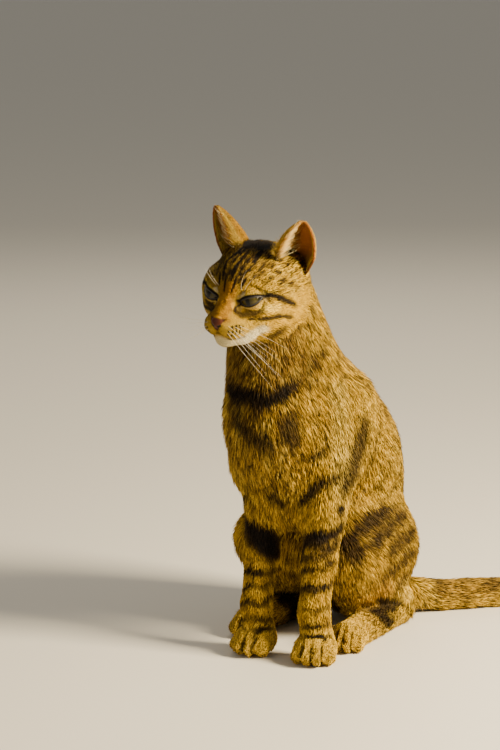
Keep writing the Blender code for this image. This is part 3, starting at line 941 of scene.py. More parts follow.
# Bars of the body, from the middle of the seat on the floor.
BODY_BARS = (
    Bar(
        TRUNK,
        ((-38, -158, 231), (-27, -171, 225), (-14, -175, 227), (-1, -172, 226),
         (7, -166, 229), (13, -156, 236)),
        16, 1, 2, both=False,
    ),
    Bar(TRUNK, ((12, -160, 231), (20, -140, 246), (26, -122, 262)), 9, 0.5, 3),
    Bar(TRUNK, ((9, -168, 212), (14, -165, 200), (15, -161, 186)), 18, 0.85, 4),
    Bar(TRUNK, ((-6, -175, 208), (-6, -173, 192)), 7, 0.4, 4, both=False),
    Bar(("chest", "upper_foreleg"), ((14, -156, 172), (22, -142, 173), (32, -128, 180)), 8, 0.7, 3),
    Bar(ARM, ((11, -146, 132), (22, -142, 143), (30, -138, 152), (41, -130, 156)), 9.5, 0.95, 2),
    Bar(ARM, ((43, -134, 132), (47, -129, 128)), 9, 1, 1.5),
    Bar(ARM + ("belly",), ((43, -90, 196), (45, -98, 176), (47, -112, 161), (45, -126, 144)),
        20, 0.85, 8),
    Bar(("belly", "chest"), ((42, -62, 186), (46, -80, 156), (47, -92, 140)), 9, 0.5, 5),
    Bar(("belly", "rump", "thigh"), ((42, -36, 168), (47, -62, 142), (48, -84, 122)), 9, 0.6, 5),
    Bar(("rump", "thigh"), ((36, -8, 150), (45, -36, 132), (47, -60, 120)), 9, 0.65, 5),
    Bar(THIGH, ((33, -103, 96), (38, -93, 103), (44, -62, 113), (46, -26, 118)), 16, 0.95, 3),
    Bar(THIGH, ((32, -103, 101), (35, -100, 90), (39, -98, 78)), 16, 0.9, 3),
    Bar(THIGH, ((38, -100, 86), (49, -86, 92), (50, -60, 99), (47, -14, 104)), 12, 0.9, 4),
    Bar(THIGH, ((55, -78, 80), (54, -48, 84), (50, -4, 88)), 12, 0.8, 4),
    Bar(THIGH, ((58, -76, 60), (57, -44, 66), (52, -4, 70)), 11, 0.75, 4),
    Bar(THIGH, ((54, -48, 44), (50, -6, 50)), 9, 0.7, 3),
    Bar(THIGH + ("hind_foot",), ((52, -70, 36), (52, -50, 29), (50, -28, 25)), 14, 0.9, 2),
    Bar(("hind_foot", "lower_leg"), ((44, -74, 25), (52, -60, 17), (52, -46, 12)), 13, 0.9, 2),
    Bar(ARM, ((16, -148, 93), (22, -148, 101), (36, -148, 104), (46, -132, 112)),
        9.5, 0.95, 2, both=False),
    Bar(ARM, ((24, -151, 86), (37, -152, 89), (45, -134, 96)), 5.5, 0.8, 1.5, both=False),
    Bar(ARM, ((-34, -146, 110), (-24, -149, 101), (-14, -145, 93), (-9, -138, 83)),
        19, 1, 2.5, both=False),
)


@dataclass(frozen=True)
class Ring:
    """A band round a foreleg: its height and its climb outwards, in mm, its width and darkness."""

    height: float
    climb: float
    width: float
    strength: float


FORELEG_RINGS = {
    Side.LEFT: (
        Ring(106, 0.42, 9.5, 0.95),
        Ring(92, 0.50, 6.5, 0.85),
        Ring(79, 0.38, 5.5, 0.8),
        Ring(62, 0.32, 6.5, 0.95),
        Ring(47, 0.15, 3.5, 0.45),
        Ring(32, 0.20, 4.2, 0.85),
        Ring(23.5, 0.05, 3.2, 0.8),
    ),
    Side.RIGHT: (
        Ring(98, -0.55, 19, 1),
        Ring(81, -0.10, 3, 0.6),
        Ring(69.5, -0.05, 4.2, 0.9),
        Ring(58.5, 0.10, 4.6, 0.9),
        Ring(45, 0.20, 4, 0.8),
        Ring(30.5, 0, 4.4, 0.9),
        Ring(24, 0, 3.2, 0.8),
    ),
}


# How strongly the hairs are banded on each part, and on the parts that aren't named.
BANDED = {
    "head": 0.6, "nose": 0.0, "ear": 0.35, "neck": 0.9, "chest": 0.95, "belly": 0.95,
    "rump": 0.95, "forearm": 0.65, "forepaw": 0.3, "hind_foot": 0.35, "tail": 0.95,
}
OTHERS_BANDED = 0.8

# Patches of the face, in the head's frame: colour, middle line, how far they reach, strength.
FACE_PATCHES = (
    (Hue.BROWN, ((0, 30, 35), (0, 5, 29), (0, -8, 21)), 26.0, 0.55),
    (Hue.RUFOUS, ((0, -16, 9), (2, -22, 1), (3, -30, -10)), 9.0, 0.5),
    (Hue.PALE, ((8, -28, -20), (18, -16, -20), (24, -8, -20)), 9.0, 0.3),
    (Hue.CREAM, ((0, -27, -33), (9, -18, -36), (18, -10, -31)), 8.0, 0.95),
    (Hue.CREAM, ((17, -11, -31), (25, -4, -23)), 6.0, 0.9),
    (Hue.CREAM, ((10.5, -16, 4.5), (13, -14.5, 6.5)), 2.8, 0.8),
    (Hue.PALE, ((27, -7, -4), (34, 1, -4)), 5.0, 0.6),
)


@dataclass
class Markings:
    """The tabby pattern and some painted light and shade: the coat's colour anywhere on the skin."""

    skin: Skin
    turn: float = -0.033
    neck_lean: float = 24.0
    hock: Point = (50.0, -70.0, 36.0)
    hock_reach: float = 22.0
    stripe_gap: float = 19.0
    tail_rings: float = 7.5
    body_slack: float = 14.0
    face_slack: float = 6.0
    crease_shade: float = 0.6
    places: Array = field(init=False)
    out: Array = field(init=False)
    own: Array = field(init=False)
    rough: Array = field(init=False)
    colour: Array = field(init=False)

    def __post_init__(self) -> None:
        """Start from plain gold everywhere."""
        points = self.skin.surface.points
        self.places = points - SEAT
        self.out = self.skin.surface.normals
        self.own = self.skin.head.inward(points)
        self.rough = wobble(points, 9.0, 3) + 0.6 * wobble(points, 4.0, 4)
        self.colour = np.tile(Hue.GOLD.light, (len(points), 1))

    def colours(self) -> Array:
        """Colour and ticking at each point of the skin.

        Returns:
            Rows of linear red, green and blue, then how strongly the hairs are banded.
        """
        ticking = self.ticking()
        self.ground()
        self.flecks(ticking)
        self.stripes()
        self.bars()
        self.rings()
        self.tail()
        self.face()
        self.eye_lines()
        self.ears()
        # Painted shade: colour darkened in the skin's creases and hollows, except on the neck,
        # chest, belly, rump and thighs.
        furry = ~self.skin.on("chest", "neck", "belly", "rump", "thigh")
        self.colour *= (1.0 - self.crease_shade * self.skin.crease * furry)[:, None]
        return np.column_stack([np.clip(self.colour, 0.0, 1.0), ticking])

    def ticking(self) -> Array:
        """How strongly the hairs are banded: most on the back and crown, least on the muzzle."""
        each = np.array([BANDED.get(lie_name(name), OTHERS_BANDED) for name in self.skin.names])
        ticking = self.skin.surface.spread(each[self.skin.nodes], 40)
        crown = smooth(-15.0, 2.0, self.own[:, 1]) * smooth(-4.0, 12.0, self.own[:, 2])
        ticking = np.where(self.skin.on("head"), 0.4 + 0.85 * crown, ticking)
        heel = self.zone(6, "hind_foot") * smooth(-105.0, -85.0, self.places[:, 1])
        return np.maximum(ticking, 0.85 * heel)

    def paint(self, hue: Hue, share: Array) -> None:
        """Mix a colour over what is there."""
        self.colour += (hue.light - self.colour) * np.clip(share, 0.0, 1.0)[:, None]

    def zone(self, steps: int, *kinds: str) -> Array:
        """How far inside the named parts each point is, from 0 to 1, with soft edges."""
        return self.skin.surface.spread(self.skin.on(*kinds).astype(float), steps)

    def middle(self) -> Array:
        """Where the cat's middle plane runs at each point: turned a little, more at the neck."""
        lean = self.neck_lean * smooth(170.0, 250.0, self.places[:, 2])
        return self.turn * self.places[:, 1] - lean

    def ground(self) -> None:
        """Golden sides, browner back, paler insides and underside, rufous by the hock."""
        skin = self.skin
        x, z = self.places[:, 0], self.places[:, 2]
        trunk = self.zone(40, "neck", "chest", "belly", "rump", "thigh", "upper_foreleg")
        back = smooth(0.15, 0.75, self.out[:, 1] * 0.8 + self.out[:, 2] * 0.6) * trunk
        self.paint(Hue.BROWN, 0.62 * back)
        breast = smooth(0.15, 0.7, -self.out[:, 1]) * self.zone(20, "chest", "neck")
        locks = wobble(self.places * (1.0, 1.0, 0.3), 7.0, 41)
        self.paint(Hue.BROWN, 0.35 * breast)
        self.paint(Hue.BAR, 0.5 * breast * smooth(-0.1, 1.0, locks))
        self.paint(Hue.PALE, 0.45 * breast * smooth(-0.2, -1.0, locks))
        # Darker throat below the chin: partly the fur's own brown, partly painted shade in the
        # hollow under the chin.
        throat_tone_and_shade = smooth(0.1, 0.7, -self.out[:, 1]) * skin.on("neck") * smooth(222.0, 236.0, z)
        self.paint(Hue.BROWN, 0.75 * throat_tone_and_shade)
        flank = smooth(30.0, 48.0, np.abs(x)) * self.zone(50, "belly", "rump", "upper_foreleg")
        self.paint(Hue.PALE, 0.35 * flank)
        # A pale column down each shoulder: partly pale fur, partly a painted highlight.
        for side in Side:
            places = self.places.copy()
            places[:, 0] = self.middle() * (1.0 - side.value) + side.value * places[:, 0]
            gap = along_line(places, SHOULDER, self.out * side.flip, self.body_slack)[0]
            self.paint(Hue.PALE, 0.6 * smooth(15.0, 4.0, gap) * trunk)
        self.paint(Hue.PALE, 0.5 * skin.on("lower_leg") * smooth(60.0, 20.0, z))
        hock = np.linalg.norm(self.places - self.hock, axis=1) / self.hock_reach
        self.paint(Hue.RUFOUS, 0.55 * np.exp(-(hock**2)))
        paws = skin.on("forepaw", "hind_foot")
        self.paint(Hue.PALE, 0.2 * paws)
        # Painted shade: black in the grooves between the toes.
        self.paint(Hue.BLACK, 0.9 * paws * toe_grooves(skin.surface.points))

    def flecks(self, ticking: Array) -> None:
        """Small dark and light flecks where banded hairs lie in little locks."""
        fine = wobble(self.places, 2.6, 21) + wobble(self.places * (1.0, 1.0, 0.7), 4.2, 22)
        self.paint(Hue.BAR, 0.78 * ticking * smooth(0.2, 1.0, fine))
        self.paint(Hue.PALE, 0.35 * ticking * smooth(-0.3, -1.1, fine))

    def stripes(self) -> None:
        """Faint broken stripes between the clear bars, and a dark line down the spine."""
        x, y, z = self.places.T
        trunk = self.zone(40, "neck", "belly", "rump", "thigh")
        run = (0.55 * y - 0.72 * z) / self.stripe_gap * 2.0 * math.pi
        wave = np.sin(run + 1.2 * wobble(self.places, 50.0, 8)) + 0.55 * self.rough
        soft = 0.5 * smooth(0.1, 1.1, wave) * trunk * smooth(30.0, 44.0, self.own[:, 1])
        self.paint(Hue.BAR, soft)
        off = np.abs(x - self.middle()) + 2.0 * self.rough
        spine = smooth(11.0, 4.0, off) * smooth(0.25, 0.7, self.out[:, 1])
        self.paint(Hue.BLACK, 0.55 * spine * self.skin.on("neck", "chest", "belly", "rump"))

    def bars(self) -> None:
        """The clear bars of the body, most of them on both sides."""
        mirrored = self.places.copy()
        mirrored[:, 0] = 2.0 * self.middle() - mirrored[:, 0]
        for bar in BODY_BARS:
            self.bar(bar, self.places, self.out, self.body_slack)
            if bar.both:
                self.bar(bar, mirrored, self.out * Side.RIGHT.flip, self.body_slack)

    def bar(self, bar: Bar, places: Array, out: Array, slack: float) -> None:
        """Paint one bar, ragged at its edges and drawn out thin at its ends.

        Args:
            bar: the bar.
            places: where the skin's points are, in the bar's own frame.
            out: which way the skin faces there.
            slack: how far above or below the skin the bar's line may run (mm).
        """
        gap, share = along_line(places, bar.line, out, slack)
        half = bar.width / 2.0 * (0.35 + 0.65 * np.sin(np.pi * share) ** 0.6)
        half = half * (1.0 + 0.16 * self.rough)
        cover = smooth(1.25 * half + bar.soft, 0.72 * half - 0.5 * bar.soft, gap)
        if bar.dashes:
            cover *= smooth(-0.6, 0.1, np.cos(2.0 * np.pi * (share * bar.dashes - 0.5)))
        cover *= bar.strength * self.skin.on(*bar.parts)
        self.paint(Hue.BAR, 0.9 * cover)
        self.paint(Hue.BLACK, (0.9 if bar.soft < 2.5 else 0.65) * cover**2)

    def rings(self) -> None:
        """The rings round the forelegs, strongest in front."""
        around = smooth(0.6, -0.2, self.out[:, 1]) * 0.75 + 0.25
        around *= 0.92 + 0.3 * wobble(self.places, 13.0, 31)
        height = self.places[:, 2] - 1.8 * self.rough
        for side, rings in FORELEG_RINGS.items():
            leg = (side.word + part for part in ("_forearm", "_forepaw", "_upper_foreleg"))
            on = self.skin.on(*leg)
            x = (self.places - self.places[self.skin.on(side.word + "_forearm")].mean(axis=0))[:, 0]
            for ring in rings:
                off = np.abs(height - ring.height - ring.climb * x)
                cover = smooth(ring.width * 0.8, ring.width * 0.42, off) * around
                self.paint(Hue.BAR, 0.9 * ring.strength * cover * on)
                self.paint(Hue.BLACK, 0.95 * ring.strength * cover**2 * on)

    def tail(self) -> None:
        """Dark mottled rings over the top of the tail, golden beneath and dark at its tip."""
        line = [centre_of("rump") * 0.3 + centre_of(TAIL[0]) * 0.7, *(centre_of(n) for n in TAIL)]
        share = along_line(self.skin.surface.points, line)[1]
        on = self.skin.on("tail")
        wave = np.sin(share * 2.0 * math.pi * self.tail_rings) + 0.45 * self.rough
        top = 0.35 + 0.65 * smooth(-0.5, 0.5, self.out[:, 2])
        self.paint(Hue.BROWN, 0.75 * on * top)
        self.paint(Hue.BLACK, 0.7 * smooth(0.0, 0.9, wave) * on * top)
        self.paint(Hue.BLACK, 0.85 * smooth(0.9, 0.97, share) * on)

    def face(self) -> None:
        """Rufous nose bridge, cream lips and chin, and the striped forehead and cheeks."""
        own = folded(self.own)
        on = self.skin.on(*FACE).astype(float)
        for hue, line, reach, share in FACE_PATCHES:
            gap = along_line(own, line)[0]
            self.paint(hue, share * smooth(reach, reach * 0.45, gap) * on)
        out = self.out @ self.skin.head.axes
        out[:, 0] *= np.sign(self.own[:, 0])
        for bar in HEAD_BARS:
            self.bar(bar, own, out, self.face_slack)

    def eye_lines(self) -> None:
        """The dark lines round the eyes with pale fur beside them, the mouth and the nose."""
        eyes = self.skin.eyes
        own = folded(self.own)
        on = self.skin.on(*FACE).astype(float)
        for side in Side:
            across, rise, far = eyes.degrees(self.own, side)
            near = on * smooth(eyes.radius + 6.5, eyes.radius + 3.5, far)
            inside = eyes.opening(across, rise)
            self.paint(Hue.CREAM, 0.18 * near * smooth(-26.0, -15.0, inside) * (rise < -4.0))
            self.paint(Hue.PALE, 0.5 * near * smooth(-24.0, -14.0, inside) * (rise > 4.0))
            lash = np.where(rise > 0.0, 4.0, 0.0)
            self.paint(Hue.BLACK, near * smooth(-11.0 - lash, -6.0 - lash, inside))
        self.paint(Hue.BAR, 0.9 * smooth(1.7, 0.7, along_line(own, MOUTH)[0]) * on)
        leather = self.leather()
        self.paint(Hue.LEATHER, leather)
        self.paint(Hue.BLACK, 0.75 * smooth(0.02, 0.4, leather) * smooth(0.95, 0.5, leather))
        # Painted shade: black in the nostril openings.
        self.paint(Hue.BLACK, smooth(1.7, 0.9, along_line(own, NOSTRIL)[0]) * on)

    def leather(self) -> Array:
        """How surely each point is the nose's bare leather: wide above, pointed below."""
        x, y, z = folded(self.own).T
        down = 1.0 + 0.62 * (z + 21.0) - x
        above = -10.8 - 0.12 * x - z
        inside = np.minimum(np.minimum(down, above), -26.5 - y)
        return smooth(-0.7, 0.5, inside) * self.skin.on(*FACE)

    def ears(self) -> None:
        """Golden-brown backs, pale rims, warm bare skin in the hollows, and painted shade in them.
        """
        for side in EARS:
            on, place, facing = self.skin.ear_view(side)
            hollow = smooth(0.0, 0.35, facing) * on
            self.paint(Hue.RUFOUS, 0.45 * on)
            self.paint(Hue.EAR_SKIN, 0.9 * hollow)
            # Painted shade: darker deep in the hollow, towards the ear's base.
            self.paint(Hue.BAR, 0.75 * hollow * smooth(16.0, 2.0, place[:, 2]))
            # The pale front of the hollow is kept dim on the right ear as painted shade, that hollow
            # being turned from the light.
            front = hollow * smooth(2.0, -6.0, place[:, 0])
            self.paint(Hue.PALE, (0.4 if side is Side.LEFT else 0.1) * front)
            back = (facing < -0.1) * smooth(20.0, EAR_HEIGHT, place[:, 2])
            self.paint(Hue.BROWN, 0.5 * on * back)
            self.paint(Hue.PALE, 0.6 * on * np.exp(-((facing / 0.3) ** 2)))


# ---- coat


class TuftShape(Enum):
    """How a tuft is made: short ones are straight, long ones bend to the body."""

    SHORT = "short"
    LONG = "long"


@dataclass(frozen=True)
class Section:
    """One stretch of coat made as one piece: its nodes, and how close its tufts stand in mm."""

    name: str
    nodes: tuple[str, ...]
    spacing: float
    shape: TuftShape
    slot: str


FORELEG = ("left_upper_foreleg", "left_forearm", "right_upper_foreleg", "right_forearm")
ALL_PAWS = ("left_forepaw", "right_forepaw", "left_hind_foot", "right_hind_foot")
HIND_LEG = ("left_thigh", "left_lower_leg", "right_thigh", "right_lower_leg")
SECTIONS = (
    Section("coat_head", ("head",), 0.63, TuftShape.SHORT, "head"),
    Section("coat_ears", ("left_ear", "right_ear"), 0.72, TuftShape.SHORT, "left_ear"),
    Section("coat_neck", ("neck",), 1.08, TuftShape.LONG, "neck"),
    Section("coat_chest", ("chest",), 1.18, TuftShape.LONG, "chest"),
    Section("coat_back", ("belly",), 1.02, TuftShape.LONG, "belly"),
    Section("coat_rump", ("rump",), 1.02, TuftShape.LONG, "rump"),
    Section("coat_forelegs", FORELEG, 1.17, TuftShape.LONG, "left_forearm"),
    Section("coat_paws", ALL_PAWS, 1.0, TuftShape.LONG, "left_forepaw"),
    Section("coat_hind_legs", HIND_LEG, 1.12, TuftShape.LONG, "left_thigh"),
    Section("coat_tail", TAIL, 1.02, TuftShape.LONG, "tail_middle"),
)

# How much one tuft differs from the next: its turn (radians), then what its rise, breadth and
# reach are multiplied by, then how light it is. The order numbers the random draws.
CHANCES = {
    "turn": (-0.26, 0.26),
    "rise": (0.55, 1.5),
    "breadth": (0.75, 1.3),
    "reach": (0.72, 1.22),
    "shade": (-1.0, 1.0),
}


@dataclass
class Coat:
    """The tufts over the skin, following the lie of the coat.

    A patch is a tuft's width on the map. Crowding is how many tufts are tried for on a square of
    the spacing, and closest the least gap between two as a share of it. The fringe is the long
    hair at the front of each ear, with its reach, breadth and rise.
    """

    skin: Skin
    colours: Array
    patch: float = 0.003
    seed: int = 7
    first_draw: int = 11
    crowding: float = 2.2
    closest: float = 0.72
    floor_gap: float = 0.0002
    whorl: Point = (0.0, -30.0, -13.0)
    head_way: Point = (0.0, 0.35, -0.12)
    fringe_way: Point = (0.25, 0.55, 0.80)
    fringe_size: Point = (14.0, 0.5, 46.0)
    comb: Array = field(init=False)
    sizes: Array = field(init=False)
    bare: Array = field(init=False)

    def build(self) -> None:
        """Grow every section of the coat."""
        self.lie()
        templates = {shape: self.template(shape) for shape in TuftShape}
        tree = self.tree(TabbyTuft().material())
        for number, section in enumerate(SECTIONS):
            piece = self.grown(section, number, tree, templates[section.shape])
            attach(piece, BODY)
            log.info("%s: %d triangles", section.name, len(piece.data.polygons))
        for template in templates.values():
            bpy.data.objects.remove(template)
        bpy.data.node_groups.remove(tree)

    def lie(self) -> None:
        """Which way, how long, how broad and how steep the tufts are at each point of the skin."""
        skin = self.skin
        surface = skin.surface
        way, sizes = self.plain_lie()
        self.comb_head(way, sizes)
        sizes[:, 0] *= 1.0 - 0.6 * toe_grooves(surface.points)
        heel = skin.on("hind_foot") * smooth(-108.0, -80.0, (surface.points - SEAT)[:, 1])
        sizes[:, 0] *= 1.0 + 0.8 * heel
        sizes[:, 2] *= 1.0 + 0.6 * heel
        way[:, 2] *= smooth(1.0, 22.0, surface.points[:, 2])
        way = surface.spread(way, 25)
        face = surface.spread(skin.on(*FACE, "ear").astype(float), 10)[:, None]
        sizes = surface.spread(sizes, 12) * face + surface.spread(sizes, 70) * (1.0 - face)
        for side in EARS:
            on, place, facing = skin.ear_view(side)
            fringe = on & (facing > 0.0) & (place[:, 0] < 2.0)
            way[fringe] = skin.head.axes @ unit(EARS[side].axes(side) @ np.array(self.fringe_way))
            sizes[fringe] = np.array(self.fringe_size)
            sizes[fringe, 0] *= np.clip(1.0 - place[fringe, 2] / EAR_HEIGHT, 0.15, 1.0)
        slope = np.sum(way * surface.normals, axis=1, keepdims=True)
        self.comb = unit(surface.spread(unit(way - slope * surface.normals), 4))
        self.sizes = sizes
        self.bare = self.bare_points()

    def plain_lie(self) -> tuple[Array, Array]:
        """The way and the sizes that the table of lies gives, with the tail's hair along it."""
        skin = self.skin
        kinds = [LIES[lie_name(name)] for name in skin.names]
        ways = np.array([unit(np.array(lie.way)) for lie in kinds])
        for here, ahead in zip(TAIL, TAIL[1:]):
            ways[skin.names.index(here)] = unit(centre_of(ahead) - centre_of(here))
        ways[skin.names.index(TAIL[-1])] = unit(centre_of(TAIL[-1]) - centre_of(TAIL[-2]))
        sizes = np.array([(lie.reach, lie.breadth, lie.rise) for lie in kinds])
        return ways[skin.nodes], sizes[skin.nodes]

    def comb_head(self, way: Array, sizes: Array) -> None:
        """Comb the head back from the nose, short by the nose and eyes, and each ear to its tip.

        Args:
            way: which way the tufts lie; changed here.
            sizes: their reach, breadth and rise; changed here.
        """
        skin = self.skin
        own = skin.head.inward(skin.surface.points)
        on_head = skin.on(*FACE)
        radial = unit(own - np.array(self.whorl)) + np.array(self.head_way)
        way[on_head] = (unit(radial) @ skin.head.axes.T)[on_head]
        back = smooth(-30.0, 30.0, own[:, 1])
        clear = 0.3 + 0.7 * smooth(2.0, 40.0, -skin.eyes.inside(own))
        sizes[on_head, 0] = ((1.3 + 5.1 * back) * clear)[on_head]
        sizes[on_head, 1] = (0.62 + 0.3 * back)[on_head]
        for side in EARS:
            on_ear, place, facing = skin.ear_view(side)
            way[on_ear] = skin.head.axes @ EARS[side].axes(side)[:, 2]
            sizes[on_ear, 0] *= (1.0 - 0.55 * smooth(22.0, EAR_HEIGHT, place[:, 2]))[on_ear]
            sizes[on_ear & (facing > 0.1), 0] = 1.6

    def bare_points(self) -> Array:
        """Which points grow no tuft: the soles, the lips, the nose and the open lids."""
        skin = self.skin
        points = skin.surface.points
        own = skin.head.inward(points)
        on_head = skin.on(*FACE)
        sole = (points[:, 2] < 1.6) & (skin.surface.normals[:, 2] < -0.5)
        lips = (along_line(folded(own), MOUTH)[0] < 0.9) & on_head
        return sole | lips | skin.on("nose") | (on_head & (skin.eyes.inside(own) > -5.0))

    @staticmethod
    def template(shape: TuftShape) -> bpy.types.Object:
        """One closed tuft of unit length along Z and unit breadth along X, its back towards +Y.

        Args:
            shape: which of the two shapes.

        Returns:
            The tuft, as an object of its own.
        """
        # Each ring of three points has its height, its width and how far it stands off the skin.
        rings, tip_drop = {
            TuftShape.SHORT: (((0.0, 0.85, 0.0),), -0.25),
            TuftShape.LONG: (((0.0, 0.7, 0.0), (0.5, 1.0, 0.12)), -0.75),
        }[shape]
        corners = []
        spots = []
        for height, width, lift in rings:
            for x, y in ((-0.5, 0.0), (0.5, 0.0), (0.0, 0.42)):
                corners.append((x * width, lift + y * width, height))
                spots.append((0.5 + x, height, 0.0))
        corners.append((0.0, tip_drop, 1.0))
        spots.append((0.5, 1.0, 0.0))
        tip = len(corners) - 1
        faces = [(0, 2, 1)] + ring_faces(len(rings) - 1, 3) + cone_faces(tip - 3, 3, tip)
        mesh = mesh_from("tuft", np.array(corners) / MM, np.array(faces))
        store(mesh, "tuft_spot", "FLOAT_VECTOR", np.array(spots))
        return shown("tuft_" + shape.value, mesh)

    def tree(self, finish: bpy.types.Material) -> bpy.types.NodeTree:
        """The Geometry Nodes tree that grows tufts on a stretch of skin.

        Args:
            finish: the tufts' material.

        Returns:
            The tree, whose inputs are Skin, Tuft, Spacing and Seed.
        """
        tree = bpy.data.node_groups.new("Coat tufts", "GeometryNodeTree")
        sockets = {"Skin": "Geometry", "Tuft": "Object", "Spacing": "Float", "Seed": "Int"}
        for name, kind in sockets.items():
            tree.interface.new_socket(name, in_out="INPUT", socket_type="NodeSocket" + kind)
        tree.interface.new_socket("Coat", in_out="OUTPUT", socket_type="NodeSocketGeometry")
        add = partial(add_node, tree)
        given = add("NodeGroupInput", {}).outputs
        spacing, seed = given["Spacing"], given["Seed"]
        comb, size, spot, own = (
            add("GeometryNodeInputNamedAttribute", {"Name": name}, data_type="FLOAT_VECTOR")
            for name in ("comb", "size", "spot", "tuft_spot")
        )
        chance = {}
        for number, (name, (low, high)) in enumerate(CHANCES.items(), self.first_draw):
            draw = add("ShaderNodeMath", {0: seed, 1: float(number)}, operation="ADD")
            values = {2: low, 3: high, 8: draw}
            chance[name] = add("FunctionNodeRandomValue", values, data_type="FLOAT")
        # Tufts stand at least a share of the spacing apart and are drawn densely enough for it.
        area = add("ShaderNodeMath", {0: spacing, 1: spacing}, operation="MULTIPLY")
        crowd = add("ShaderNodeMath", {0: self.crowding, 1: area}, operation="DIVIDE")
        close = add("ShaderNodeMath", {0: spacing, 1: self.closest}, operation="MULTIPLY")
        roots = add(
            "GeometryNodeDistributePointsOnFaces",
            {"Mesh": given["Skin"], "Distance Min": close, "Density Max": crowd, "Seed": seed},
            distribute_method="POISSON",
        )
        normal = roots.outputs["Normal"]
        sizes = zip(("reach", "breadth", "rise"), add("ShaderNodeSeparateXYZ", {0: size}).outputs)
        reach, breadth, rise = (
            add("ShaderNodeMath", {0: value, 1: chance[name]}, operation="MULTIPLY")
            for name, value in sizes
        )
        # Each tuft lies along the comb, turned a little and lifted off the skin.
        turned = add(
            "ShaderNodeVectorRotate",
            {"Vector": comb, "Axis": normal, "Angle": chance["turn"]},
            rotation_type="AXIS_ANGLE",
        )
        lift = add("ShaderNodeVectorMath", {0: normal, "Scale": rise}, operation="SCALE")
        way = add("ShaderNodeVectorMath", {0: turned, 1: lift}, operation="ADD")
        laid = add("FunctionNodeAlignRotationToVector", {"Vector": way}, axis="Z")
        upright = {"Rotation": laid, "Vector": normal}
        faced = add("FunctionNodeAlignRotationToVector", upright, axis="Y", pivot_axis="Z")
        scale = add("ShaderNodeCombineXYZ", {0: breadth, 1: breadth, 2: reach})
        shade = {"Geometry": roots, "Name": "shade", "Value": chance["shade"]}
        shaded = add("GeometryNodeStoreNamedAttribute", shade, data_type="FLOAT", domain="POINT")
        tuft = add("GeometryNodeObjectInfo", {"Object": given["Tuft"]}).outputs["Geometry"]
        placed = {"Points": shaded, "Instance": tuft, "Rotation": faced, "Scale": scale}
        grown = add("GeometryNodeInstanceOnPoints", placed)
        real = add("GeometryNodeRealizeInstances", {0: grown})
        # No tuft goes through the floor.
        x, y, z = add("ShaderNodeSeparateXYZ", {0: add("GeometryNodeInputPosition", {})}).outputs
        above = add("ShaderNodeMath", {0: z, 1: self.floor_gap}, operation="MAXIMUM")
        lifted = add("ShaderNodeCombineXYZ", {0: x, 1: y, 2: above})
        clear = add("GeometryNodeSetPosition", {"Geometry": real, "Position": lifted})
        # Each tuft has its own small patch of the map, where its root is on the unwrapped skin.
        inner = add("ShaderNodeVectorMath", {0: own, "Scale": self.patch}, operation="SCALE")
        where = add("ShaderNodeVectorMath", {0: spot, 1: inner}, operation="ADD")
        corner = {"Geometry": clear, "Name": BAKE_MAP, "Value": where}
        mapped = add("GeometryNodeStoreNamedAttribute", corner, data_type="FLOAT2", domain="CORNER")
        dressed = add("GeometryNodeSetMaterial", {"Geometry": mapped, "Material": finish})
        add("NodeGroupOutput", {0: dressed})
        return tree

    def grown(
        self,
        section: Section,
        number: int,
        tree: bpy.types.NodeTree,
        template: bpy.types.Object,
    ) -> bpy.types.Object:
        """One section's tufts as a plain mesh.

        Args:
            section: the stretch of coat.
            number: its place in the list, which also picks its random draw.
            tree: the tree that grows tufts.
            template: the tuft that is repeated.

        Returns:
            The finished piece.
        """
        skin = self.skin
        surface = skin.surface
        wanted = skin.on(*section.nodes)[surface.faces[:, 0]]
        faces = surface.faces[wanted & ~self.bare[surface.faces].any(axis=1)]
        used, faces = np.unique(faces, return_inverse=True)
        faces = faces.reshape(-1, 3)
        mesh = mesh_from(section.name, surface.points[used], faces)
        sizes = self.sizes[used] * np.array([MM, MM, math.radians(1.0)])
        store(mesh, "comb", "FLOAT_VECTOR", self.comb[used])
        store(mesh, "size", "FLOAT_VECTOR", sizes)
        store(mesh, "spot", "FLOAT_VECTOR", self.spots(surface.points[used]))
        store(mesh, "tint", "FLOAT_COLOR", self.colours[used])
        made = shown(section.name, mesh)
        grow = made.modifiers.new("Grow", "NODES")
        grow.node_group = tree
        inputs = {s.name: s.identifier for s in tree.interface.items_tree if s.in_out == "INPUT"}
        grow[inputs["Tuft"]] = template
        grow[inputs["Spacing"]] = section.spacing * MM
        grow[inputs["Seed"]] = self.seed + 100 * number
        made.data = made_final(made)
        for name in ("comb", "size", "spot"):
            made.data.attributes.remove(made.data.attributes[name])
        made.data.shade_smooth()
        return made

    @staticmethod
    def spots(points: Array) -> Array:
        """Where each place falls on a round, even unwrap of its stretch of skin.

        The stretch is seen down its longest way: the angle round it stays, and the distance along
        it becomes the distance from the map's middle, so that no seam is needed.

        Args:
            points: the places.

        Returns:
            Their places on the map, from 0 to 1, with a third value of 0.
        """
        middle = points.mean(axis=0)
        axes = np.linalg.svd(points - middle, full_matrices=False)[2]
        local = (points - middle) @ axes.T
        along = local[:, 0]
        share = (along - along.min()) / np.ptp(along)
        angle = np.arctan2(local[:, 2], local[:, 1])
        inner, outer = 0.15, 0.49
        radius = np.sqrt(inner**2 + (1.0 - inner**2) * share) * outer
        spots = np.zeros_like(points)
        spots[:, 0] = 0.5 + radius * np.cos(angle)
        spots[:, 1] = 0.5 + radius * np.sin(angle)
        return spots


# ---- finishes


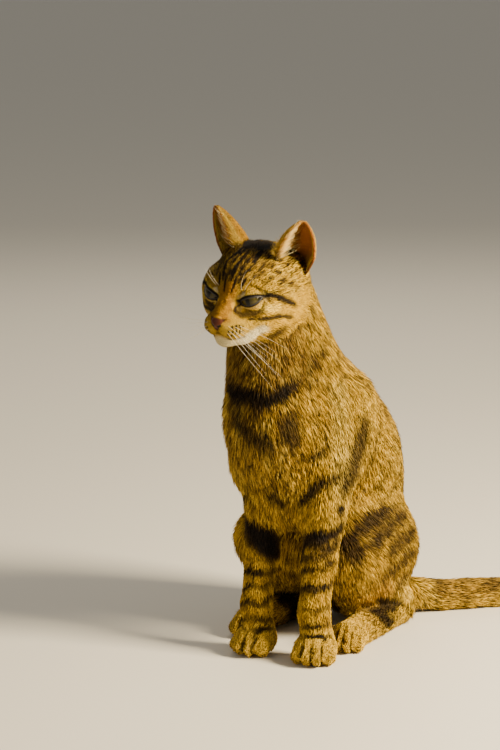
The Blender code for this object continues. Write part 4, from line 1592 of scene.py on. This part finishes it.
def new_material(
    name: str, **values: Any
) -> tuple[bpy.types.Material, Callable[..., bpy.types.Node], bpy.types.Node]:
    """A new material.

    Args:
        name: its name.
        values: values of its Principled shader, by input, with _ for each space.

    Returns:
        The material, the function that adds nodes to its tree, and its Principled shader.
    """
    material = bpy.data.materials.new(name)
    material.use_nodes = True
    shader = material.node_tree.nodes["Principled BSDF"]
    fill(shader, {key.replace("_", " "): value for key, value in values.items()})
    return material, partial(add_node, material.node_tree), shader


def stopped(ramp: bpy.types.ColorRamp, stops: tuple[tuple[float, Point], ...]) -> None:
    """Give a colour ramp its stops: where each is, and its linear colour.

    Args:
        ramp: the ramp.
        stops: for each stop its place from 0 to 1, and its linear colour.
    """
    for place, _ in stops[1:-1]:
        ramp.elements.new(place)
    for element, (place, colour) in zip(ramp.elements, stops):
        element.position = place
        element.color = (*colour, 1.0)


@dataclass(frozen=True)
class TabbyTuft:
    """Guard hair of a short-haired tabby: matt keratin, dark at the root, banded, dark-tipped.

    One tuft stands for a small lock of hairs, which the fine streaks along it show.
    """

    roughness: float = 0.62
    specular: float = 0.12
    spread: float = 0.40
    guard: float = 0.80
    tip: float = 0.30
    strands: float = 22.0
    bands: tuple[tuple[float, float], ...] = ((0.0, 0.26), (0.3, 0.75), (0.7, 1.30), (1.0, 1.05))
    brightest: float = 1.3

    def material(self) -> bpy.types.Material:
        """The tufts' finish, which follows each tuft from its root to its tip."""
        material, add, shader = new_material(
            "tabby_guard_hair", Roughness=self.roughness, Specular_IOR_Level=self.specular
        )
        tint, shade, spot = (
            add("ShaderNodeAttribute", {}, attribute_name=name).outputs
            for name in ("tint", "shade", "tuft_spot")
        )
        across, along, _ = add("ShaderNodeSeparateXYZ", {0: spot["Vector"]}).outputs
        band = add("ShaderNodeValToRGB", {"Fac": along})
        stops = tuple((place, (light / self.brightest,) * 3) for place, light in self.bands)
        stopped(band.color_ramp, stops)
        light = {0: shade["Fac"], 1: self.spread, 2: self.brightest}
        lift = add("ShaderNodeMath", light, operation="MULTIPLY_ADD")
        # Some tufts are dark guard hairs, and every tip is darker, where the coat is banded.
        guard = add("ShaderNodeMapRange", {"Value": shade["Fac"], 1: 0.15, 2: 0.45, 4: self.guard})
        tip = add("ShaderNodeMapRange", {"Value": along, 1: 0.55, 2: 0.95, 4: self.tip})
        dark = add("ShaderNodeMath", {0: guard, 1: tip}, operation="ADD")
        ticked = add("ShaderNodeMath", {0: dark, 1: tint["Alpha"]}, operation="MULTIPLY")
        kept = add("ShaderNodeMath", {0: 1.0, 1: ticked}, operation="SUBTRACT")
        strand = add("ShaderNodeMath", {0: across, 1: self.strands}, operation="MULTIPLY")
        wave = add("ShaderNodeMath", {0: strand}, operation="SINE")
        fine = add("ShaderNodeMapRange", {"Value": wave, 1: -1.0, 3: 0.8, 4: 1.1})
        strength = band
        for factor in (lift, kept, fine):
            strength = add("ShaderNodeMath", {0: strength, 1: factor}, operation="MULTIPLY")
        values = {0: tint["Color"], "Scale": strength}
        fill(shader, {"Base Color": add("ShaderNodeVectorMath", values, operation="SCALE")})
        return material


@dataclass(frozen=True)
class CoatedSkin:
    """Skin under a dense undercoat: matt, the coat's colour dimmed as painted shade, finely
    streaked.

    The nose leather is part of it: moist, and so much smoother. The grain is about 1 mm wide,
    coarser than real down, so that it shows.
    """

    roughness: float = 0.9
    wet_roughness: float = 0.38
    specular: float = 0.18
    tuft_shade_share: float = 0.72
    grain: float = 900.0
    grain_height: float = 0.0003

    def material(self) -> bpy.types.Material:
        """The skin's finish, which carries the same markings as the coat."""
        material, add, shader = new_material("tabby_undercoat", Specular_IOR_Level=self.specular)
        tint, leather = (
            add("ShaderNodeAttribute", {}, attribute_name=name).outputs
            for name in ("tint", "leather")
        )
        bare = {"Value": leather["Fac"]}
        # Away from the nose leather the coat's colour is dimmed: painted shade between the tufts.
        share = add("ShaderNodeMapRange", bare | {3: self.tuft_shade_share, 4: 1.0})
        gloss = add("ShaderNodeMapRange", bare | {3: self.roughness, 4: self.wet_roughness})
        values = {0: tint["Color"], "Scale": share}
        shaded_tint = add("ShaderNodeVectorMath", values, operation="SCALE")
        place = add("ShaderNodeTexCoord", {}).outputs["Object"]
        noise = {"Vector": place, "Scale": self.grain, "Detail": 2.0}
        relief = {"Height": add("ShaderNodeTexNoise", noise), "Strength": 0.5}
        bump = add("ShaderNodeBump", relief | {"Distance": self.grain_height})
        fill(shader, {"Base Color": shaded_tint, "Roughness": gloss, "Normal": bump})
        return material


@dataclass(frozen=True)
class Eyeball:
    """A cat's eye under its wet cornea: olive iris with radial fibres, slit pupil, dark rim."""

    iris: str = "#3f381a"
    inner: str = "#241f0e"
    rim: str = "#120c06"
    roughness: float = 0.06
    ior: float = 1.376
    pupil_half: tuple[float, float] = (0.15, 0.52)
    pupil_in: float = 0.12
    iris_edge: float = 0.80
    fibres: Point = (9.0, 2.5, 1.0)

    def material(self) -> bpy.types.Material:
        """The finish, drawn from each point's direction out of the middle of the eye."""
        material, add, shader = new_material(
            "cat_eye",
            Roughness=self.roughness,
            IOR=self.ior,
            Coat_Weight=0.1,
            Specular_IOR_Level=0.3,
            Coat_Roughness=0.03,
        )
        way = add("ShaderNodeAttribute", {}, attribute_name="eye_spot").outputs["Vector"]
        x, _, z = add("ShaderNodeSeparateXYZ", {0: way}).outputs
        flat = add("ShaderNodeCombineXYZ", {0: x, 1: z})
        off = add("ShaderNodeVectorMath", {0: flat}, operation="LENGTH").outputs["Value"]
        # The fibres run out from the pupil: noise drawn out along the distance from the middle.
        turn = add("ShaderNodeMath", {0: z, 1: x}, operation="ARCTAN2")
        polar = add("ShaderNodeCombineXYZ", {0: turn, 1: off})
        drawn = add("ShaderNodeVectorMath", {0: polar, 1: self.fibres}, operation="MULTIPLY")
        fibre = add("ShaderNodeTexNoise", {"Vector": drawn, "Scale": 2.0, "Detail": 3.0})
        light = {"Value": fibre, 1: 0.3, 2: 0.7, 3: 0.6, 4: 1.25}
        strength = add("ShaderNodeMapRange", light)
        ramp = add("ShaderNodeValToRGB", {"Fac": off})
        places = (0.0, 0.45, self.iris_edge - 0.1, self.iris_edge)
        hues = (self.inner, self.iris, self.inner, self.rim)
        stopped(ramp.color_ramp, tuple(zip(places, map(linear, hues))))
        lit = add("ShaderNodeVectorMath", {0: ramp, "Scale": strength}, operation="SCALE")
        half_x, half_z = self.pupil_half
        oval = {0: flat, 1: (1.0 / half_x, 1.0 / half_z, 0.0), 2: (self.pupil_in / half_x, 0.0, 0.0)}
        slit = add("ShaderNodeVectorMath", oval, operation="MULTIPLY_ADD")
        inside = add("ShaderNodeVectorMath", {0: slit}, operation="LENGTH").outputs["Value"]
        edge = add("ShaderNodeMapRange", {"Value": inside, 1: 0.9, 2: 1.1, 3: 0.02, 4: 1.0})
        colour = add("ShaderNodeVectorMath", {0: lit, "Scale": edge}, operation="SCALE")
        fill(shader, {"Base Color": colour})
        return material


@dataclass(frozen=True)
class PlainFinish:
    """One even finish: moist black lid margins, the pale keratin of hairs, or floor paint."""

    name: str
    colour: str
    roughness: float

    def material(self) -> bpy.types.Material:
        """The finish."""
        colour = (*linear(self.colour), 1.0)
        return new_material(self.name, Base_Color=colour, Roughness=self.roughness)[0]


# ---- eyes and whiskers


def tube(line: Array, radii: Array, sides: int, closed: bool) -> tuple[Array, Array]:
    """A round tube along a line.

    Args:
        line: its middle points in order, in millimetres.
        radii: its radius at each of them.
        sides: how many sides it has.
        closed: whether its end joins its start; an open tube is closed over both ends.

    Returns:
        Its points and its triangles, which face outwards.
    """
    ahead = np.roll(line, -1, axis=0) - np.roll(line, 1, axis=0)
    if not closed:
        ahead[0] = line[1] - line[0]
        ahead[-1] = line[-1] - line[-2]
    ahead = unit(ahead)
    aside = line.mean(axis=0) - line + np.array([0.1, 0.2, 9.0]) * (not closed)
    side = unit(np.cross(ahead, aside))
    up = np.cross(side, ahead)
    turn = (np.arange(sides) / sides * 2.0 * math.pi)[None, :, None]
    ring = np.cos(turn) * side[:, None] + np.sin(turn) * up[:, None]
    points = (line[:, None] + ring * radii[:, None, None]).reshape(-1, 3)
    count = len(line)
    faces = ring_faces(count if closed else count - 1, sides, count)
    if not closed:
        points = np.vstack([points, line[0], line[-1]])
        faces += [face[::-1] for face in cone_faces(0, sides, count * sides)]
        faces += cone_faces((count - 1) * sides, sides, count * sides + 1)
    return points, outward_faces(points, np.array(faces))


def outward_faces(points: Array, faces: Array) -> Array:
    """The triangles of a closed mesh, turned so that they face outwards."""
    a, b, c = (points[faces[:, k]] for k in range(3))
    volume = np.sum(a * np.cross(b, c))
    return faces if volume > 0.0 else faces[:, ::-1]


@dataclass(frozen=True)
class Strand:
    """How a fine hair is made: its radius in mm, how much it tapers, its joints and sides."""

    radius: float
    taper: float
    joints: int
    sides: int

    def line(self, root: Array, way: Array, bend: Array, reach: float) -> Array:
        """The middle line of one hair.

        Args:
            root: where it starts.
            way: which way it starts.
            bend: how far it bends by its end, as a share of its length.
            reach: its length in mm.

        Returns:
            Its joints in order.
        """
        share = np.linspace(0.0, 1.0, self.joints)[:, None]
        return root + reach * (way * share + bend * share**2)

    def piece(self, name: str, head: Head, lines: Iterable[Array]) -> bpy.types.Object:
        """One piece made of hairs along lines of the head's frame.

        Args:
            name: the piece's name.
            head: the head.
            lines: the hairs' middle lines.

        Returns:
            The piece.
        """
        radii = self.radius * (1.0 - self.taper * np.linspace(0.0, 1.0, self.joints))
        tubes = [tube(head.outward(line), radii, self.sides, False) for line in lines]
        starts = np.cumsum([0] + [len(points) for points, _ in tubes])
        faces = [turned + start for (_, turned), start in zip(tubes, starts)]
        made = shown(name, mesh_from(name, np.vstack([t[0] for t in tubes]), np.vstack(faces)))
        log.info("%s: %d triangles", name, len(made.data.polygons))
        return made


@dataclass
class Eyes:
    """Both eyeballs and the dark margins of their lids."""

    head: Head
    shape: EyeSet
    rings: int = 40
    sides: int = 64
    bulge: float = 0.05
    rim_radius: float = 0.75
    rim_out: float = 0.15

    def build(self) -> None:
        """Make each eye in place of its CAD ball."""
        finish = Eyeball().material()
        margin = PlainFinish("moist_lid_margin", "#120b07", 0.6).material()
        for side in Side:
            ball = shown("eye_" + side.word, self.ball(side))
            ball.data.materials.append(finish)
            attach(ball, BODY)
            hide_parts(side.word + "_eye")
            side.word + "_eye"
            points, faces = tube(*self.margin(side), 8, True)
            rim = shown("lid_margin_" + side.word, mesh_from("lid_margin", points, faces))
            rim.data.materials.append(margin)
            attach(rim, BODY)
            side.word + "_eye"
            log.info("eye %s: %d triangles", side.word, len(ball.data.polygons))

    def ball(self, side: Side) -> bpy.types.Mesh:
        """An eyeball whose poles lie along its gaze, with a raised cornea.

        Args:
            side: which eye.

        Returns:
            Its mesh, with each point's direction from its middle.
        """
        lean = (np.arange(1, self.rings) / self.rings * math.pi)[:, None]
        turn = np.arange(self.sides) / self.sides * 2.0 * math.pi
        level = np.cos(lean) * np.ones(self.sides)
        round_points = np.sin(lean) * np.cos(turn), level, np.sin(lean) * np.sin(turn)
        rows = np.stack(round_points, axis=2).reshape(-1, 3)
        local = np.vstack([rows, (0.0, 1.0, 0.0), (0.0, -1.0, 0.0)])
        count = len(rows)
        faces = ring_faces(self.rings - 2, self.sides)
        faces += [face[::-1] for face in cone_faces(0, self.sides, count)]
        faces += cone_faces(count - self.sides, self.sides, count + 1)
        raised = self.shape.radius * (1.0 + self.bulge * smooth(0.55, 0.95, local[:, 1]))
        centre = self.shape.centre(side)
        points = self.head.outward(centre + local * raised[:, None] @ self.shape.axes(side).T)
        turned = outward_faces(points - self.head.outward(centre), np.array(faces))
        mesh = mesh_from("eye", points, turned)
        store(mesh, "eye_spot", "FLOAT_VECTOR", local)
        return mesh

    def margin(self, side: Side) -> tuple[Array, Array]:
        """The line and the radii of the margin round one eye's opening.

        Args:
            side: which eye.

        Returns:
            The line in the cat's frame, and its radius at each point.
        """
        share = np.sin(np.linspace(-0.5, 0.5, 37) * math.pi)
        reach = share * np.where(share > 0.0, self.shape.outer, self.shape.inner)
        top, bottom = self.shape.edges(reach)
        across = np.radians(np.concatenate([reach, reach[-2:0:-1]]))
        rise = np.radians(np.concatenate([top, bottom[-2:0:-1]]))
        level = np.cos(rise)
        local = np.stack([np.sin(across) * level, np.cos(across) * level, np.sin(rise)], axis=1)
        out = local * (self.shape.radius + self.rim_out) @ self.shape.axes(side).T
        return self.head.outward(self.shape.centre(side) + out), np.full(len(out), self.rim_radius)


@dataclass
class Whiskers:
    """Whiskers of the lips and brows: pale, stiff and tapering (mm, the head's frame).

    Those on the cat's left are longer and hang; those on its right are shorter and stand out.
    """

    head: Head
    strand: Strand = Strand(0.12, 0.88, 14, 6)
    rooted: float = 2.0
    rows: int = 3
    seed: int = 5

    def build(self) -> None:
        """Make all whiskers as one piece."""
        made = self.strand.piece("whiskers", self.head, self.lines())
        made.data.materials.append(PlainFinish("pale_whisker", "#f3e8cf", 0.4).material())
        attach(made, BODY)

    def lines(self) -> Iterable[Array]:
        """The middle line of each whisker: rows on the lip, then two over the eye."""
        rng = np.random.default_rng(self.seed)
        for side in Side:
            near = side is Side.LEFT
            for row in range(self.rows):
                for k in range(3 if near else 4):
                    root = np.array([10.0 + 2.3 * k, -30.0 + 3.1 * k, -16.5 - 3.3 * row])
                    way = np.array([0.84, -0.10 + 0.12 * k, -0.22 - 0.22 * row])
                    way += rng.normal(0.0, 0.06, 3)
                    sag = np.array([0.0, 0.42, -0.34] if near else [0.0, 0.10, 0.10])
                    reach = rng.uniform(34.0, 50.0) if near else rng.uniform(26.0, 36.0)
                    yield self.line(root, way, sag, reach) * side.flip
            for k in range(2):
                root = np.array([11.0 + 3.5 * k, -13.0, 10.5 + 0.6 * k])
                way = np.array([0.25 + 0.15 * k, -0.55, 0.75]) + rng.normal(0.0, 0.05, 3)
                reach = rng.uniform(18.0, 26.0)
                yield self.line(root, way, np.array([0.15, 0.35, 0.1]), reach) * side.flip

    def line(self, root: Array, way: Array, sag: Array, reach: float) -> Array:
        """The middle line of one whisker, which starts a little under the skin."""
        ahead = unit(way)
        return self.strand.line(root - ahead * self.rooted, ahead, sag, reach)


@dataclass
class EarHairs:
    """Long pale hairs that stand along the front of each ear and sweep over its hollow (mm).

    Directions are towards the ear's outer edge, out of its hollow and up to its tip.
    """

    skin: Skin
    count: int = 150
    strand: Strand = Strand(0.24, 0.85, 7, 3)
    way: Point = (0.45, 0.42, 0.75)
    bend: Point = (0.22, -0.30, 0.12)
    shortest: float = 4.0
    growth: float = 11.0
    seed: int = 9

    def build(self) -> None:
        """Make the hairs of both ears as one piece."""
        made = self.strand.piece("ear_hairs", self.skin.head, self.lines())
        made.data.materials.append(PlainFinish("pale_ear_hair", "#ecd9a0", 0.6).material())
        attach(made, BODY)

    def lines(self) -> Iterable[Array]:
        """The middle line of each hair, longest at the foot of the ear."""
        rng = np.random.default_rng(self.seed)
        for side, ear in EARS.items():
            on, place, facing = self.skin.ear_view(side)
            front = on & (facing > -0.1) & (place[:, 0] < 1.0)
            roots = np.flatnonzero(front & (place[:, 2] > 1.0) & (place[:, 2] < 40.0))
            for root in rng.choice(roots, self.count, replace=False):
                low = 1.0 - place[root, 2] / EAR_HEIGHT
                reach = (self.shortest + self.growth * low) * rng.uniform(0.75, 1.15)
                way = unit(np.array(self.way) + rng.normal(0.0, 0.15, 3))
                line = self.strand.line(place[root], way, np.array(self.bend), reach)
                yield line @ ear.axes(side).T + np.array(ear.base) * side.flip


# ---- studio


@dataclass(frozen=True)
class Lamp:
    """A square soft lamp aimed at the cat.

    It has its place from the cat's middle and its width in metres, and its power in watts.
    """

    name: str
    place: Point
    width: float
    power: float
    colour: str

    def build(self, centre: Vector) -> None:
        """Hang the lamp and aim it at the centre."""
        data = bpy.data.lights.new(self.name, "AREA")
        data.size = self.width
        data.energy = self.power
        data.color = linear(self.colour)
        made = bpy.data.objects.new(self.name, data)
        made.location = centre + Vector(self.place)
        made.rotation_euler = Vector(self.place).to_track_quat("Z", "Y").to_euler()
        bpy.context.scene.collection.objects.link(made)


LAMPS = (
    Lamp("key", (1.28, 0.12, 0.64), 0.45, 106.0, "#ffecc6"),
    Lamp("fill", (-0.6, -1.7, 0.9), 1.4, 5.5, "#fff0d2"),
    Lamp("back", (-0.9, 1.5, 1.3), 1.2, 13.0, "#fff0da"),
)


@dataclass
class Studio:
    """The floor, the lights and the camera round the cat (metres and degrees)."""

    azimuth: float = 30.0
    elevation: float = 10.3
    target: Point = (-0.20386, 0.04806, 0.2)
    distance: float = 2.4
    lens: float = 129.024
    lit: Point = (-0.05, -0.02, 0.17)
    surround: str = "#e9e6df"
    glow: float = 0.37
    floor_half: float = 60.0
    floor_gap: float = 0.0002

    def build(self) -> None:
        """Set the floor, the world, the lights and the camera."""
        self.floor()
        self.world()
        self.camera()
        for lamp in LAMPS:
            lamp.build(Vector(self.lit))

    def back(self) -> Vector:
        """The way from the cat to the camera."""
        turn, rise = math.radians(self.azimuth), math.radians(self.elevation)
        level = math.cos(rise)
        return Vector((math.sin(turn) * level, -math.cos(turn) * level, math.sin(rise)))

    def camera(self) -> None:
        """A long lens a little above the cat's eye level."""
        data = bpy.data.cameras.new("camera")
        data.lens = self.lens
        data.sensor_width = 36.0
        made = bpy.data.objects.new("camera", data)
        made.location = Vector(self.target) + self.back() * self.distance
        made.rotation_euler = self.back().to_track_quat("Z", "Y").to_euler()
        bpy.context.scene.collection.objects.link(made)
        bpy.context.scene.camera = made

    def floor(self) -> None:
        """A broad floor at the height of the cat's feet."""
        bm = bmesh.new()
        bmesh.ops.create_grid(bm, x_segments=1, y_segments=1, size=self.floor_half)
        mesh = from_bmesh("floor", bm)
        made = shown("floor", mesh)
        made.location.z = CAD_BOX[0][2] - self.floor_gap
        mesh.materials.append(PlainFinish("studio_floor", "#d9d4c8", 0.8).material())

    def world(self) -> None:
        """A soft pale surround."""
        world = bpy.data.worlds.new("surround")
        world.use_nodes = True
        surround = world.node_tree.nodes["Background"]
        fill(surround, {"Color": (*linear(self.surround), 1.0), "Strength": self.glow})
        bpy.context.scene.world = world


# ---- the whole cat


def main() -> None:
    """Build the cat and its studio, and report each piece."""
    logging.basicConfig(level=logging.INFO, format="%(name)s: %(message)s")
    head = Head()
    eyes = EyeSet()
    skin = Skin(head, eyes)
    skin.build()
    markings = Markings(skin)
    colours = markings.colours()
    mesh = mesh_from("skin", skin.surface.points, skin.surface.faces)
    store(mesh, "tint", "FLOAT_COLOR", colours)
    store(mesh, "leather", "FLOAT", markings.leather())
    mesh.materials.append(CoatedSkin().material())
    piece = shown("skin", mesh)
    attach(piece, BODY)
    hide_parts(*skin.names)
    Eyes(head, eyes).build()
    Whiskers(head).build()
    EarHairs(skin).build()
    Coat(skin, colours).build()
    Studio().build()


if __name__ == "__main__":
    main()
